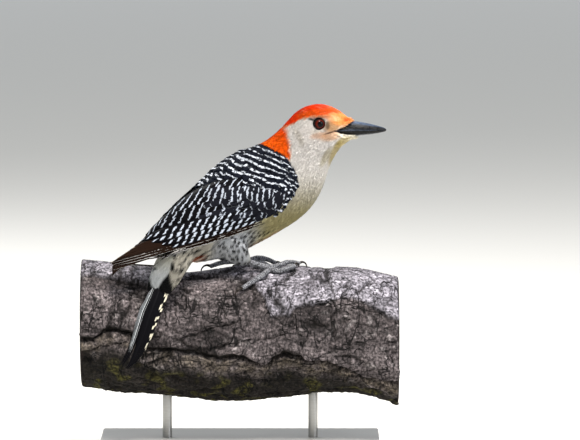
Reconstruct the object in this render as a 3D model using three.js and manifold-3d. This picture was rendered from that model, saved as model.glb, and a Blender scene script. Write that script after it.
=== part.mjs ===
// A woodpecker gripping a cut length of branch, held on a plain display stand.
// Millimetres, +Z up. The origin is the centre of the underside of the stand's base.
// The branch runs along X; the bird faces +X and stands turned slightly towards +Y.

import * as THREE from 'three';
import { mergeVertices } from 'three/addons/utils/BufferGeometryUtils.js';
import Module from 'manifold-3d';

const wasm = await Module();
wasm.setup();

// ---------------------------------------------------------------- driving dimensions

const GAP = 0.3;               // clearance between pieces that touch
const MERGE = 1e-4;            // corners nearer together than this are one corner
const RAD = Math.PI / 180;

const STAND = {
  length: 176, depth: 104, thickness: 12, corner: 14, cornerSteps: 4, bevel: 1.2,
  rodRadius: 3, rodSides: 20, rodSpacing: 92, socketDepth: 8,
};

// The branch: crest and underside heights at places along X, and its half depth.
const PERCH = {
  sides: 32, steps: 15, halfDepth: 40.5,
  profile: [
    { x: -100, crest: 124.5, under: 45.0 },
    { x: -80, crest: 122.5, under: 41.5 },
    { x: -54, crest: 120.0, under: 39.0 },
    { x: -31, crest: 116.0, under: 37.0 },
    { x: -8, crest: 119.8, under: 35.5 },
    { x: 14, crest: 120.8, under: 36.6 },
    { x: 45, crest: 119.8, under: 39.8 },
    { x: 74, crest: 119.3, under: 40.8 },
    { x: 100, crest: 113.0, under: 33.2 },
  ],
  // Bark plates: relief, number round the branch, and length over which they waver.
  plateDepth: 0.9, plates: 7, plateWaver: 23,
  halvings: 30,                // steps of the search for a height at a place along X
};

// The bird's middle line on plan: straight trunk, a bend at the neck, straight head.
const PLAN = {
  start: new THREE.Vector2(10, -8), trunkYaw: 20 * RAD,
  headYaw: 5 * RAD, bendStart: 12, bendEnd: 33,
};

// Body sections from vent to bill base, drawn on the middle plane:
// s forward along the middle line and z up, at the back and at the belly, and half width.
const BODY_SECTIONS = [
  { back: [-58.0, 144.5], belly: [-41.0, 124.0], half: 10.0 },
  { back: [-52.1, 155.5], belly: [-29.8, 125.8], half: 13.5 },
  { back: [-42.0, 168.2], belly: [-16.0, 128.4], half: 17.0 },
  { back: [-29.8, 180.0], belly: [-2.1, 134.1], half: 19.5 },
  { back: [-17.0, 189.2], belly: [13.8, 141.9], half: 21.0 },
  { back: [-5.3, 195.0], belly: [27.4, 149.6], half: 21.0 },
  { back: [5.0, 198.8], belly: [37.3, 159.0], half: 19.5 },
  { back: [10.6, 202.1], belly: [43.6, 170.4], half: 17.2 },
  { back: [15.9, 206.5], belly: [47.1, 181.4], half: 15.2 },
  { back: [21.1, 211.9], belly: [50.1, 188.4], half: 13.9 },
  { back: [26.9, 218.0], belly: [54.1, 194.3], half: 13.3 },
  { back: [34.2, 221.7], belly: [57.6, 197.6], half: 12.7 },
  { back: [42.5, 222.6], belly: [60.7, 199.8], half: 10.6 },
  { back: [50.2, 220.3], belly: [63.2, 201.3], half: 7.2 },
  { back: [56.4, 216.4], belly: [65.2, 202.5], half: 5.0 },
  { back: [61.0, 212.5], belly: [66.7, 203.7], half: 3.4 },
  { back: [62.8, 210.9], belly: [67.4, 204.9], half: 2.2 },
];
const BODY = {
  sides: 24,
  spacing: 7.5,                // rough distance between sections along the middle line
  neckFrom: 6,                 // section at which the trunk ends and the neck starts
  headFrom: 9,                 // section at which the neck ends and the head starts
  trunkSteps: 13, neckSteps: 6, headSteps: 11,
};

// Wing sections in the bird's frame: [s, out, z] at the upper and the lower edge,
// outward bulge of the outer face, and how far the inner face lies behind the chord.
const WING_SECTIONS = [
  { upper: [27.6, 15.0, 182.0], lower: [27.6, 17.0, 174.0], bulge: 1.5, inner: 5.0 },
  { upper: [14.4, 13.0, 192.3], lower: [16.8, 19.0, 162.0], bulge: 7.0, inner: 8.0 },
  { upper: [-3.3, 9.0, 195.2], lower: [-3.0, 20.0, 151.5], bulge: 10.0, inner: 8.0 },
  { upper: [-21.0, 5.0, 187.7], lower: [-25.0, 19.0, 143.6], bulge: 10.0, inner: 7.0 },
  { upper: [-38.0, 2.4, 174.8], lower: [-42.9, 17.0, 137.4], bulge: 8.5, inner: 4.0 },
  { upper: [-53.6, 1.6, 161.4], lower: [-59.6, 14.5, 133.4], bulge: 6.0, inner: 0.5 },
  { upper: [-67.6, 1.8, 149.2], lower: [-73.2, 11.0, 128.6], bulge: 4.0, inner: -1.8 },
  { upper: [-76.5, 2.5, 140.8], lower: [-83.8, 8.0, 124.9], bulge: 2.5, inner: -0.9 },
  { upper: [-87.0, 3.6, 133.4], lower: [-91.4, 6.5, 121.6], bulge: 1.4, inner: 0.1 },
  { upper: [-98.2, 4.4, 126.8], lower: [-96.8, 5.4, 119.2], bulge: 0.8, inner: 0.6 },
];
// The far wing is tucked a little lower and shorter under the near one at the tip.
const WING = { steps: 16, chordSteps: 6, halfEdge: 0.45, leftTuck: 3.2 };
// The cut between the coverts with secondaries, above, and the primaries, below.
const PRIMARY_CUT = { front: [-8, 145.6], slope: 0.1, end: -79 };
// The notch between the two longest primary tips: its mouth and its vertex, [s, z].
const TIP_NOTCH = [[-103, 124.6], [-103, 120.4], [-91.5, 123.6]];

// Upper and under tail coverts: a blunt cone from the vent down over the tail's root.
const COVERTS = {
  centre: [[-35, -25, 135], [-41.6, -31, 125.6], [-47, -38.4, 115], [-50.6, -42.8, 107.4]],
  halfWidth: [9.8, 12, 11.6, 9.4], halfDepth: [9, 8.4, 5.8, 3], sides: 16, steps: 6,
};
// The tail: ridge line from root to tip, half width, and how the two vanes slope away.
const TAIL = {
  ridge: [[-46.5, -31, 127], [-52.4, -43.8, 109.5], [-58.6, -50.4, 96.2], [-62.9, -54, 81.4],
    [-67.6, -55.9, 68.9], [-72.3, -56.6, 61.8]],
  halfWidth: [7, 12.4, 11.4, 8.4, 6.2, 1.6], thickness: [3.0, 2.8, 2.4, 2.0, 1.6, 1.0],
  faceTurn: 52 * RAD, roof: 18 * RAD, steps: 10,
  // Corners of a cut: share of the half width across, and share of the thickness below the top.
  cut: [[-1, 0.2], [-0.5, 0], [0, 0], [0.5, 0], [1, 0.2], [1, 0.7], [0.5, 1], [0, 1], [-0.5, 1], [-1, 0.7]],
};

const EYE = { s: 40.1, out: 10.1, z: 210.7, radius: 3.9, segments: 14, rings: 9 };

// Bill sections in the head's middle plane: culmen, gape line and keel heights, half width.
// `arch` squares the halves' cross-section a little: 1 would be a half ellipse.
const BILL = { arcSteps: 7, arch: 0.9 };
const BILL_SECTIONS = [
  { s: 52.5, culmen: 210.4, gape: 205.9, keel: 203.6, half: 4.6 },
  { s: 57.5, culmen: 211.5, gape: 205.8, keel: 202.7, half: 5.4 },
  { s: 63.0, culmen: 211.3, gape: 205.8, keel: 202.9, half: 4.6 },
  { s: 71.6, culmen: 210.0, gape: 205.7, keel: 203.5, half: 3.4 },
  { s: 77.6, culmen: 208.3, gape: 205.8, keel: 204.3, half: 2.4 },
  { s: 81.6, culmen: 207.1, gape: 205.9, keel: 205.1, half: 1.5 },
  { s: 83.2, culmen: 206.5, gape: 206.0, keel: 205.6, half: 1.0 },
];

// Legs: the feathered thigh from the trunk down to the ankle, and the bare tarsus to the foot.
// A foot stands on the bark: every place below is [x, angle round the branch, height above it].
const LEGS = {
  near: {
    thigh: [[-9, -22, 141], [-4, -22.6, 134], [1.2, -21.2, 128], [4.6, -20, 125]],
    foot: [18.6, 20, 2.0],
    toes: {
      hallux: [[13.5, 15, 1.6], [9.0, 12, 1.5]],
      second: [[24.5, 24, 1.9], [30.0, 20, 2.4], [34.0, 12, 1.8]],
      third: [[25.0, 14, 2.6], [31.0, 8, 3.6], [37.0, 4, 2.3]],
      fourth: [[15.0, 29, 1.7], [8.0, 38, 1.7], [2.0, 45.5, 2.2]],
    },
  },
  far: {
    thigh: [[-16, 4, 141], [-13, 6.5, 134], [-9.5, 7.5, 128], [-7, 7, 125.4]],
    foot: [4.5, -9, 2.4],
    toes: {
      hallux: [[0.5, -15, 1.6], [-2.5, -19, 1.5]],
      second: [[10.0, -16, 3.2], [15.0, -21, 3.0], [19.0, -25, 1.6]],
      third: [[9.5, -8, 4.6], [15.5, -9, 4.4], [22.0, -9, 1.8]],
      fourth: [[-4.0, -8, 3.0], [-11.5, -8, 3.2], [-18.5, -7, 2.4]],
    },
  },
};
// Ends of limbs are rounded: how far they bulge, and their end ring, as shares of the radius.
const LIMB_END = { bulge: 0.5, ring: 0.6 };
const THIGH = { radii: [9.5, 8.8, 6.2, 3.1], sides: 14, steps: 5 };
const TARSUS = { radii: [1.8, 1.5, 2.1], sides: 8, steps: 4 };
const TOE = { sides: 7, steps: 5 };
// Toe radii at the root and at the tip, and the claw each toe carries.
const TOE_RADII = { hallux: [1.15, 0.95], second: [1.4, 1.1], third: [1.45, 1.1], fourth: [1.45, 1.1] };
// The claw's middle line is given as shares of its length: [along the toe, away from the bark].
const CLAW = {
  length: { hallux: 5, second: 7.5, third: 8, fourth: 9 },
  line: [[0, 0], [0.36, 0.196], [0.66, 0.084], [0.74, -0.28]],
  radii: [1.0, 0.8, 0.55, 0.3], sides: 6, steps: 4,
};

const COLOURS = {
  head: [0xd8452c, 0.9], neck: [0xd8d0c4, 0.9], trunk: [0xd6cfc0, 0.9],
  coverts: [0xdedcd2, 0.9], tail: [0x2b2b2e, 0.8], wing: [0x303136, 0.8],
  primaries: [0x33261f, 0.7], thigh: [0xc9c6bd, 0.9], foot: [0x6d6c62, 0.6],
  claw: [0x2a2625, 0.35], bill: [0x26282c, 0.3], eye: [0x2a0c08, 0.1],
  perch: [0x7b736e, 0.95], stand: [0xd8d8d6, 0.5],
};

// ---------------------------------------------------------------- geometry helpers

const material = (name) => new THREE.MeshStandardMaterial({
  color: COLOURS[name][0], roughness: COLOURS[name][1], metalness: 0,
});

const vector = (list) => new THREE.Vector3(...list);

const curve = (points) => new THREE.CatmullRomCurve3(points, false, 'centripetal');

// A value list read smoothly at t from 0 to 1.
function smoothValue(values, t) {
  const line = curve(values.map((value, index) => new THREE.Vector3(index * 10, value, 0)));
  return line.getPoint(t).y;
}

// A closed solid through rings of equal count; each end is closed round its middle.
function loft(rings) {
  const count = rings[0].length;
  const points = rings.flat();
  const middles = [rings[0], rings[rings.length - 1]].map((ring) => {
    const middle = new THREE.Vector3();
    ring.forEach((point) => middle.add(point));
    return middle.divideScalar(count);
  });
  const index = [];
  for (let row = 0; row < rings.length - 1; row += 1) {
    for (let i = 0; i < count; i += 1) {
      const a = row * count + i;
      const b = row * count + (i + 1) % count;
      index.push(a, b, b + count, a, b + count, a + count);
    }
  }
  const last = (rings.length - 1) * count;
  for (let i = 0; i < count; i += 1) {
    const next = (i + 1) % count;
    index.push(points.length, next, i);
    index.push(points.length + 1, last + i, last + next);
  }
  const all = [...points, ...middles];
  const geometry = new THREE.BufferGeometry();
  geometry.setAttribute('position', new THREE.Float32BufferAttribute(all.flatMap((p) => p.toArray()), 3));
  geometry.setIndex(facingOut(all, index));
  return geometry;
}

// The triangle list, turned over if the solid it bounds would come out inside out.
function facingOut(points, index) {
  let volume = 0;
  const cross = new THREE.Vector3();
  for (let i = 0; i < index.length; i += 3) {
    const [a, b, c] = [points[index[i]], points[index[i + 1]], points[index[i + 2]]];
    volume += a.dot(cross.crossVectors(b, c));
  }
  if (volume > 0) return index;
  const turned = [];
  for (let i = 0; i < index.length; i += 3) turned.push(index[i], index[i + 2], index[i + 1]);
  return turned;
}

function solid(geometry) {
  const plain = geometry.clone();
  plain.deleteAttribute('normal');
  plain.deleteAttribute('uv');
  const merged = mergeVertices(plain, MERGE);
  return new wasm.Manifold(new wasm.Mesh({
    numProp: 3,
    vertProperties: new Float32Array(merged.attributes.position.array),
    triVerts: new Uint32Array(merged.index.array),
  }));
}

// The largest body of a solid, as a geometry: cuts may leave slivers behind.
function geometryOf(manifold) {
  const largest = manifold.decompose().reduce((a, b) => (b.volume() > a.volume() ? b : a));
  const mesh = largest.getMesh();
  const geometry = new THREE.BufferGeometry();
  geometry.setAttribute('position', new THREE.BufferAttribute(mesh.vertProperties, 3));
  geometry.setIndex(new THREE.BufferAttribute(mesh.triVerts, 1));
  return geometry;
}

function carve(base, ...cutters) {
  return cutters.reduce((left, cutter) => left.subtract(cutter), base);
}

// A ring round `centre`, across the unit directions `side` and `over`.
function oval(centre, side, over, halfSide, halfOver, sides) {
  const ring = [];
  for (let i = 0; i < sides; i += 1) {
    const angle = 2 * Math.PI * i / sides;
    ring.push(centre.clone()
      .addScaledVector(side, halfSide * Math.cos(angle))
      .addScaledVector(over, halfOver * Math.sin(angle)));
  }
  return ring;
}

// A round limb of changing radius along a smooth path, grown by `grow` all round.
function limb(path, { radii, sides, steps }, grow = 0) {
  const line = curve(path);
  const rings = [];
  const reference = new THREE.Vector3(0.1, 0.2, 1).normalize();
  const addRing = (t, offset, scale) => {
    const along = line.getTangent(t).normalize();
    const side = new THREE.Vector3().crossVectors(along, reference).normalize();
    const over = new THREE.Vector3().crossVectors(side, along);
    const radius = (smoothValue(radii, t) + grow) * scale;
    const centre = line.getPoint(t).addScaledVector(along, offset);
    rings.push(oval(centre, side, over, radius, radius, sides));
  };
  addRing(0, -grow - LIMB_END.bulge * radii[0], LIMB_END.ring);
  for (let i = 0; i <= steps; i += 1) addRing(i / steps, 0, 1);
  addRing(1, grow + LIMB_END.bulge * radii[radii.length - 1], LIMB_END.ring);
  return loft(rings);
}

// ---------------------------------------------------------------- the bird's own frame

// Heading of the middle line at s: the trunk's, then turning evenly to the head's.
function yawAt(s) {
  const turn = THREE.MathUtils.clamp((s - PLAN.bendStart) / (PLAN.bendEnd - PLAN.bendStart), 0, 1);
  return THREE.MathUtils.lerp(PLAN.trunkYaw, PLAN.headYaw, turn);
}

// The middle line on plan: straight, then a round bend, then straight again.
function middleLine(s) {
  const point = PLAN.start.clone();
  const straight = Math.min(s, PLAN.bendStart);
  point.x += straight * Math.cos(PLAN.trunkYaw);
  point.y += straight * Math.sin(PLAN.trunkYaw);
  if (s <= PLAN.bendStart) return point;
  const radius = (PLAN.bendEnd - PLAN.bendStart) / (PLAN.trunkYaw - PLAN.headYaw);
  const yaw = yawAt(s);
  point.x += radius * (Math.sin(PLAN.trunkYaw) - Math.sin(yaw));
  point.y += radius * (Math.cos(yaw) - Math.cos(PLAN.trunkYaw));
  const rest = Math.max(0, s - PLAN.bendEnd);
  point.x += rest * Math.cos(PLAN.headYaw);
  point.y += rest * Math.sin(PLAN.headYaw);
  return point;
}

// World place of a point of the bird: s forward, `out` towards its right side, z up.
function birdPoint(s, out, z) {
  const middle = middleLine(s);
  const yaw = yawAt(s);
  return new THREE.Vector3(middle.x + out * Math.sin(yaw), middle.y - out * Math.cos(yaw), z);
}

// ---------------------------------------------------------------- head, neck and trunk

const backLine = curve(BODY_SECTIONS.map((cut) => new THREE.Vector3(...cut.back, cut.half)));
const bellyLine = curve(BODY_SECTIONS.map((cut) => new THREE.Vector3(...cut.belly, cut.half)));

function bodyRing(t, grow) {
  const back = backLine.getPoint(t);
  const belly = bellyLine.getPoint(t);
  const halfTall = back.distanceTo(belly) / 2;
  const middle = back.clone().lerp(belly, 0.5);
  const up = new THREE.Vector2(back.x - belly.x, back.y - belly.y).normalize();
  const half = (back.z + belly.z) / 2 + grow;
  const ring = [];
  for (let i = 0; i < BODY.sides; i += 1) {
    const angle = 2 * Math.PI * i / BODY.sides;
    const rise = (halfTall + grow) * Math.cos(angle);
    ring.push(birdPoint(middle.x + up.x * rise, half * Math.sin(angle), middle.y + up.y * rise));
  }
  return ring;
}

// The body between two section numbers, `inset` millimetres short at each cut end.
function bodyPiece(from, to, steps, { grow = 0, insetFrom = 0, insetTo = 0 } = {}) {
  const last = BODY_SECTIONS.length - 1;
  const start = (from + insetFrom / BODY.spacing) / last;
  const end = (to - insetTo / BODY.spacing) / last;
  const rings = [];
  for (let i = 0; i <= steps; i += 1) rings.push(bodyRing(start + (end - start) * i / steps, grow));
  return loft(rings);
}

const trunkGrown = solid(bodyPiece(0, BODY.headFrom, BODY.trunkSteps + BODY.neckSteps, { grow: GAP }));

function trunkSolid() {
  return solid(bodyPiece(0, BODY.neckFrom, BODY.trunkSteps));
}

function neckSolid() {
  const insets = { insetFrom: GAP, insetTo: GAP };
  return solid(bodyPiece(BODY.neckFrom, BODY.headFrom, BODY.neckSteps, insets));
}

function eyeGeometry(side, grow = 0) {
  const geometry = new THREE.SphereGeometry(EYE.radius + grow, EYE.segments, EYE.rings);
  const place = birdPoint(EYE.s, side * EYE.out, EYE.z);
  return geometry.translate(place.x, place.y, place.z);
}

function headSolid() {
  const whole = solid(bodyPiece(BODY.headFrom, BODY_SECTIONS.length - 1, BODY.headSteps));
  return carve(whole, solid(eyeGeometry(1, GAP)), solid(eyeGeometry(-1, GAP)),
    solid(billGeometry('upper', GAP)), solid(billGeometry('lower', GAP)));
}

// ---------------------------------------------------------------- bill

// Half of the bill: an arched ridge above the gape line, or a keel below it.
function billGeometry(half, grow = 0) {
  const { arcSteps, arch } = BILL;
  const rings = BILL_SECTIONS.map((cut, row) => {
    const ends = [row === 0 ? -1 : 0, row === BILL_SECTIONS.length - 1 ? 1 : 0];
    const s = cut.s + grow * (ends[0] + ends[1]);
    const upper = half === 'upper';
    const reach = (upper ? cut.culmen - cut.gape : cut.gape - cut.keel) - GAP / 2 + grow;
    const base = cut.gape + (upper ? 1 : -1) * (GAP / 2 - grow);
    const ring = [];
    for (let i = 0; i <= arcSteps; i += 1) {
      const angle = Math.PI * i / arcSteps;
      const rise = (reach + grow) * Math.sin(angle) ** arch;
      ring.push(birdPoint(s, (cut.half + grow) * Math.cos(angle), base + (upper ? rise : -rise)));
    }
    return ring;
  });
  return loft(rings);
}

// ---------------------------------------------------------------- wings

// One wing's sections read smoothly at t, from the shoulder to the wing tip.
const wingLines = {
  upper: curve(WING_SECTIONS.map((cut) => vector(cut.upper))),
  lower: curve(WING_SECTIONS.map((cut) => vector(cut.lower))),
};

function wingRing(t, side, grow) {
  const upper = wingLines.upper.getPoint(t);
  const lower = wingLines.lower.getPoint(t);
  const bulge = smoothValue(WING_SECTIONS.map((cut) => cut.bulge), t) + grow;
  const inner = smoothValue(WING_SECTIONS.map((cut) => cut.inner), t) + grow;
  const chord = lower.clone().sub(upper);
  const outward = new THREE.Vector3(0, -chord.z, chord.y).normalize();
  const stretch = chord.clone().normalize().multiplyScalar(grow);
  const tuck = side < 0 ? WING.leftTuck * t ** 3 : 0;
  const ring = [];
  const place = (share, depth) => {
    const point = upper.clone().sub(stretch)
      .addScaledVector(chord.clone().addScaledVector(stretch, 2), share)
      .addScaledVector(outward, depth);
    ring.push(birdPoint(point.x + tuck, side * point.y, point.z - tuck));
  };
  const edge = WING.halfEdge + grow;
  for (let i = 0; i <= WING.chordSteps; i += 1) {
    const share = i / WING.chordSteps;
    place(share, edge + (bulge - edge) * 4 * share * (1 - share));
  }
  for (let i = WING.chordSteps; i >= 0; i -= 1) {
    const share = i / WING.chordSteps;
    place(share, -edge - (inner - edge) * 4 * share * (1 - share));
  }
  return ring;
}

function wingWhole(side, grow = 0) {
  const rings = [];
  for (let i = 0; i <= WING.steps; i += 1) rings.push(wingRing(i / WING.steps, side, grow));
  return solid(loft(rings));
}

// A prism across the bird from an outline of [s, z] points behind the neck bend.
function crosswisePrism(outline) {
  const reach = 60;
  const shape = new THREE.Shape(outline.map(([s, z]) => new THREE.Vector2(s, z)));
  const geometry = new THREE.ExtrudeGeometry(shape, { depth: 2 * reach, bevelEnabled: false });
  geometry.translate(0, 0, -reach);
  geometry.rotateX(Math.PI / 2);
  geometry.rotateZ(PLAN.trunkYaw);
  return solid(geometry.translate(PLAN.start.x, PLAN.start.y, 0));
}

// All that lies below and behind the primaries' cut, which is moved outwards by `shift`.
function primaryBlock(shift) {
  const far = 140;
  const [s, z] = PRIMARY_CUT.front;
  const cutHeight = (at) => z + PRIMARY_CUT.slope * (at - s) + shift;
  const end = PRIMARY_CUT.end + shift;
  return crosswisePrism([[s + far, cutHeight(s + far)], [end, cutHeight(end)], [end, z + far],
    [s - far, z + far], [s - far, z - far], [s + far, z - far]]);
}

function wingPieces(side) {
  const whole = carve(wingWhole(side), trunkGrown);
  return {
    wing: carve(whole, primaryBlock(GAP / 2)),
    primaries: carve(whole.intersect(primaryBlock(-GAP / 2)), crosswisePrism(TIP_NOTCH)),
  };
}

// ---------------------------------------------------------------- tail

// Directions of the tail's face: down its length, across it and out of its upper side.
function tailFrame(along) {
  const facing = new THREE.Vector3(-Math.cos(TAIL.faceTurn), -Math.sin(TAIL.faceTurn), 0);
  const out = facing.addScaledVector(along, -facing.dot(along)).normalize();
  return { out, across: new THREE.Vector3().crossVectors(out, along).normalize() };
}

function covertsSolid(grow = 0) {
  const line = curve(COVERTS.centre.map(vector));
  const rings = [];
  for (let i = 0; i <= COVERTS.steps; i += 1) {
    const t = i / COVERTS.steps;
    const { out, across } = tailFrame(line.getTangent(t));
    const wide = smoothValue(COVERTS.halfWidth, t) + grow;
    const deep = smoothValue(COVERTS.halfDepth, t) + grow;
    rings.push(oval(line.getPoint(t), across, out, wide, deep, COVERTS.sides));
  }
  return solid(loft(rings));
}

// The tail feathers as one roofed plate with a ridge down its middle.
function tailSolid() {
  const line = curve(TAIL.ridge.map(vector));
  const rings = [];
  for (let i = 0; i <= TAIL.steps; i += 1) {
    const t = i / TAIL.steps;
    const { out, across } = tailFrame(line.getTangent(t));
    const half = smoothValue(TAIL.halfWidth, t);
    const thick = smoothValue(TAIL.thickness, t);
    const point = (share, under) => line.getPoint(t)
      .addScaledVector(across, half * share * Math.cos(TAIL.roof))
      .addScaledVector(out, -half * Math.abs(share) * Math.sin(TAIL.roof) - under * thick);
    rings.push(TAIL.cut.map(([share, under]) => point(share, under)));
  }
  return solid(loft(rings));
}

// ---------------------------------------------------------------- branch

const perchCrest = curve(PERCH.profile.map(({ x, crest }) => new THREE.Vector3(x, 0, crest)));
const perchUnder = curve(PERCH.profile.map(({ x, under }) => new THREE.Vector3(x, 0, under)));

// Height of a profile line of the branch at x, found by halving.
function heightAt(line, x) {
  let [low, high] = [0, 1];
  for (let i = 0; i < PERCH.halvings; i += 1) {
    const middle = (low + high) / 2;
    if (line.getPoint(middle).x < x) low = middle;
    else high = middle;
  }
  return line.getPoint(low).z;
}

// A point of the bark at x and an angle from the crest (towards -Y), raised by `lift`.
function onBark(x, angle, lift = 0) {
  const crest = heightAt(perchCrest, x);
  const under = heightAt(perchUnder, x);
  const halfTall = (crest - under) / 2;
  const wave = Math.sin(angle * PERCH.plates + Math.sin(x / PERCH.plateWaver));
  const plate = PERCH.plateDepth * wave * Math.sin(angle) ** 2;
  const y = -(PERCH.halfDepth + lift + plate) * Math.sin(angle);
  const z = (crest + under) / 2 + (halfTall + lift + plate) * Math.cos(angle);
  return new THREE.Vector3(x, y, z);
}

function perchSolid() {
  const rings = [];
  const [start, end] = [PERCH.profile[0].x, PERCH.profile[PERCH.profile.length - 1].x];
  for (let i = 0; i <= PERCH.steps; i += 1) {
    const x = start + (end - start) * i / PERCH.steps;
    const ring = [];
    for (let k = 0; k < PERCH.sides; k += 1) ring.push(onBark(x, 2 * Math.PI * k / PERCH.sides));
    rings.push(ring);
  }
  return solid(loft(rings));
}

// ---------------------------------------------------------------- legs and feet

const barkPlace = ([x, angle, lift]) => onBark(x, angle * RAD, lift);

function thighSolid(leg, grow = 0) {
  return solid(limb(leg.thigh.map(vector), THIGH, grow));
}

function tarsusSolid(leg, grow = 0) {
  const ankle = vector(leg.thigh[leg.thigh.length - 1]);
  const foot = barkPlace(leg.foot);
  const middle = ankle.clone().lerp(foot, 0.5);
  return solid(limb([ankle, middle, foot], TARSUS, grow));
}

function toePath(leg, name) {
  return [barkPlace(leg.foot), ...leg.toes[name].map(barkPlace)];
}

function toeSolid(leg, name, grow = 0) {
  return solid(limb(toePath(leg, name), { ...TOE, radii: TOE_RADII[name] }, grow));
}

// A claw leaves the toe's end along it, rises a little and hooks down into the bark.
function clawSolid(leg, name) {
  const path = toePath(leg, name);
  const end = path[path.length - 1];
  const along = end.clone().sub(path[path.length - 2]).normalize();
  const [x, angle] = leg.toes[name][leg.toes[name].length - 1];
  const outward = onBark(x, angle * RAD, 1).sub(onBark(x, angle * RAD, 0)).normalize();
  const length = CLAW.length[name];
  const place = (run, rise) => end.clone().addScaledVector(along, run * length)
    .addScaledVector(outward, rise * length);
  return solid(limb(CLAW.line.map(([run, rise]) => place(run, rise)), CLAW));
}

// The bare parts of one leg, each cut clear of the pieces it meets.
function legPieces(leg, perchGrown, wingsGrown) {
  const thigh = carve(thighSolid(leg), trunkGrown, perchGrown, ...wingsGrown);
  const thighGrown = thighSolid(leg, GAP);
  const tarsus = carve(tarsusSolid(leg), thighGrown, perchGrown);
  const tarsusGrown = tarsusSolid(leg, GAP);
  const pieces = { thigh, tarsus };
  const placed = [thighGrown];
  for (const name of Object.keys(leg.toes)) {
    pieces[`toe_${name}`] = carve(toeSolid(leg, name), tarsusGrown, perchGrown, ...placed);
    placed.push(toeSolid(leg, name, GAP));
  }
  for (const name of Object.keys(leg.toes)) {
    pieces[`claw_${name}`] = carve(clawSolid(leg, name), ...placed, perchGrown);
  }
  return pieces;
}

// ---------------------------------------------------------------- stand

function roundedPlate(length, depth, corner) {
  const [x, y] = [length / 2, depth / 2];
  const shape = new THREE.Shape();
  shape.moveTo(-x + corner, -y);
  shape.lineTo(x - corner, -y);
  shape.absarc(x - corner, -y + corner, corner, -Math.PI / 2, 0);
  shape.absarc(x - corner, y - corner, corner, 0, Math.PI / 2);
  shape.absarc(-x + corner, y - corner, corner, Math.PI / 2, Math.PI);
  shape.absarc(-x + corner, -y + corner, corner, Math.PI, 1.5 * Math.PI);
  return shape;
}

function standBaseGeometry() {
  const { length, depth, thickness, corner, cornerSteps, bevel } = STAND;
  const shape = roundedPlate(length - 2 * bevel, depth - 2 * bevel, corner - bevel);
  const geometry = new THREE.ExtrudeGeometry(shape, {
    depth: thickness - 2 * bevel, bevelEnabled: true, bevelThickness: bevel, bevelSize: bevel,
    bevelSegments: 1, curveSegments: cornerSteps,
  });
  return geometry.translate(0, 0, bevel);
}

// A rod standing in a socket of the base and reaching up into the branch.
function rodGeometry(x, grow = 0) {
  const { thickness, socketDepth, rodRadius, rodSides } = STAND;
  const low = thickness - socketDepth - grow;
  const high = heightAt(perchUnder, x) + socketDepth + grow;
  const radius = rodRadius + grow;
  const geometry = new THREE.CylinderGeometry(radius, radius, high - low, rodSides);
  geometry.rotateX(Math.PI / 2);
  return geometry.translate(x, 0, (low + high) / 2);
}

// ---------------------------------------------------------------- the model

const group = new THREE.Group();

function add(name, shape, colour) {
  const geometry = shape instanceof THREE.BufferGeometry ? shape : geometryOf(shape);
  const mesh = new THREE.Mesh(geometry, material(colour));
  mesh.name = name;
  group.add(mesh);
}

const rodPlaces = [-STAND.rodSpacing / 2, STAND.rodSpacing / 2];
const rodCutters = rodPlaces.map((x) => solid(rodGeometry(x, GAP)));
const perch = perchSolid();

add('head', headSolid(), 'head');
add('neck', neckSolid(), 'neck');
add('trunk', trunkSolid(), 'trunk');
add('bill_upper', solid(billGeometry('upper')), 'bill');
add('bill_lower', solid(billGeometry('lower')), 'bill');

const SIDES = { right: 1, left: -1 };
const wingsGrown = Object.values(SIDES).map((side) => wingWhole(side, GAP));
for (const [name, side] of Object.entries(SIDES)) {
  const pieces = wingPieces(side);
  add(`eye_${name}`, eyeGeometry(side), 'eye');
  add(`wing_${name}`, pieces.wing, 'wing');
  add(`primaries_${name}`, pieces.primaries, 'primaries');
}

add('tail_coverts', carve(covertsSolid(), trunkGrown, ...wingsGrown), 'coverts');
add('tail', carve(tailSolid(), covertsSolid(GAP), trunkGrown, ...wingsGrown), 'tail');

for (const [name, leg] of [['right', LEGS.near], ['left', LEGS.far]]) {
  const pieces = legPieces(leg, perch, wingsGrown);
  for (const [piece, shape] of Object.entries(pieces)) {
    const colour = { thigh: 'thigh', tarsus: 'foot', toe: 'foot', claw: 'claw' }[piece.split('_')[0]];
    add(`${piece}_${name}`, shape, colour);
  }
}

add('perch', carve(perch, ...rodCutters), 'perch');
add('stand_base', carve(solid(standBaseGeometry()), ...rodCutters), 'stand');
rodPlaces.forEach((x, i) => add(`stand_rod_${i + 1}`, rodGeometry(x), 'stand'));

export default group;
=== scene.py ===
"""A male red-bellied woodpecker gripping a cut length of branch: a life-size still model on a plain stand.

Sizes of the bird are in millimetres in the bird's own frame: s runs forward along its middle line,
out runs to its right side and z runs up. Finished meshes are in metres, in the frame of the CAD model.
"""

import logging
import math
from dataclasses import dataclass, field
from enum import Enum
from typing import Callable

import bmesh
import bpy
import numpy as np
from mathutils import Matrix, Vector, kdtree
from mathutils.bvhtree import BVHTree

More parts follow.
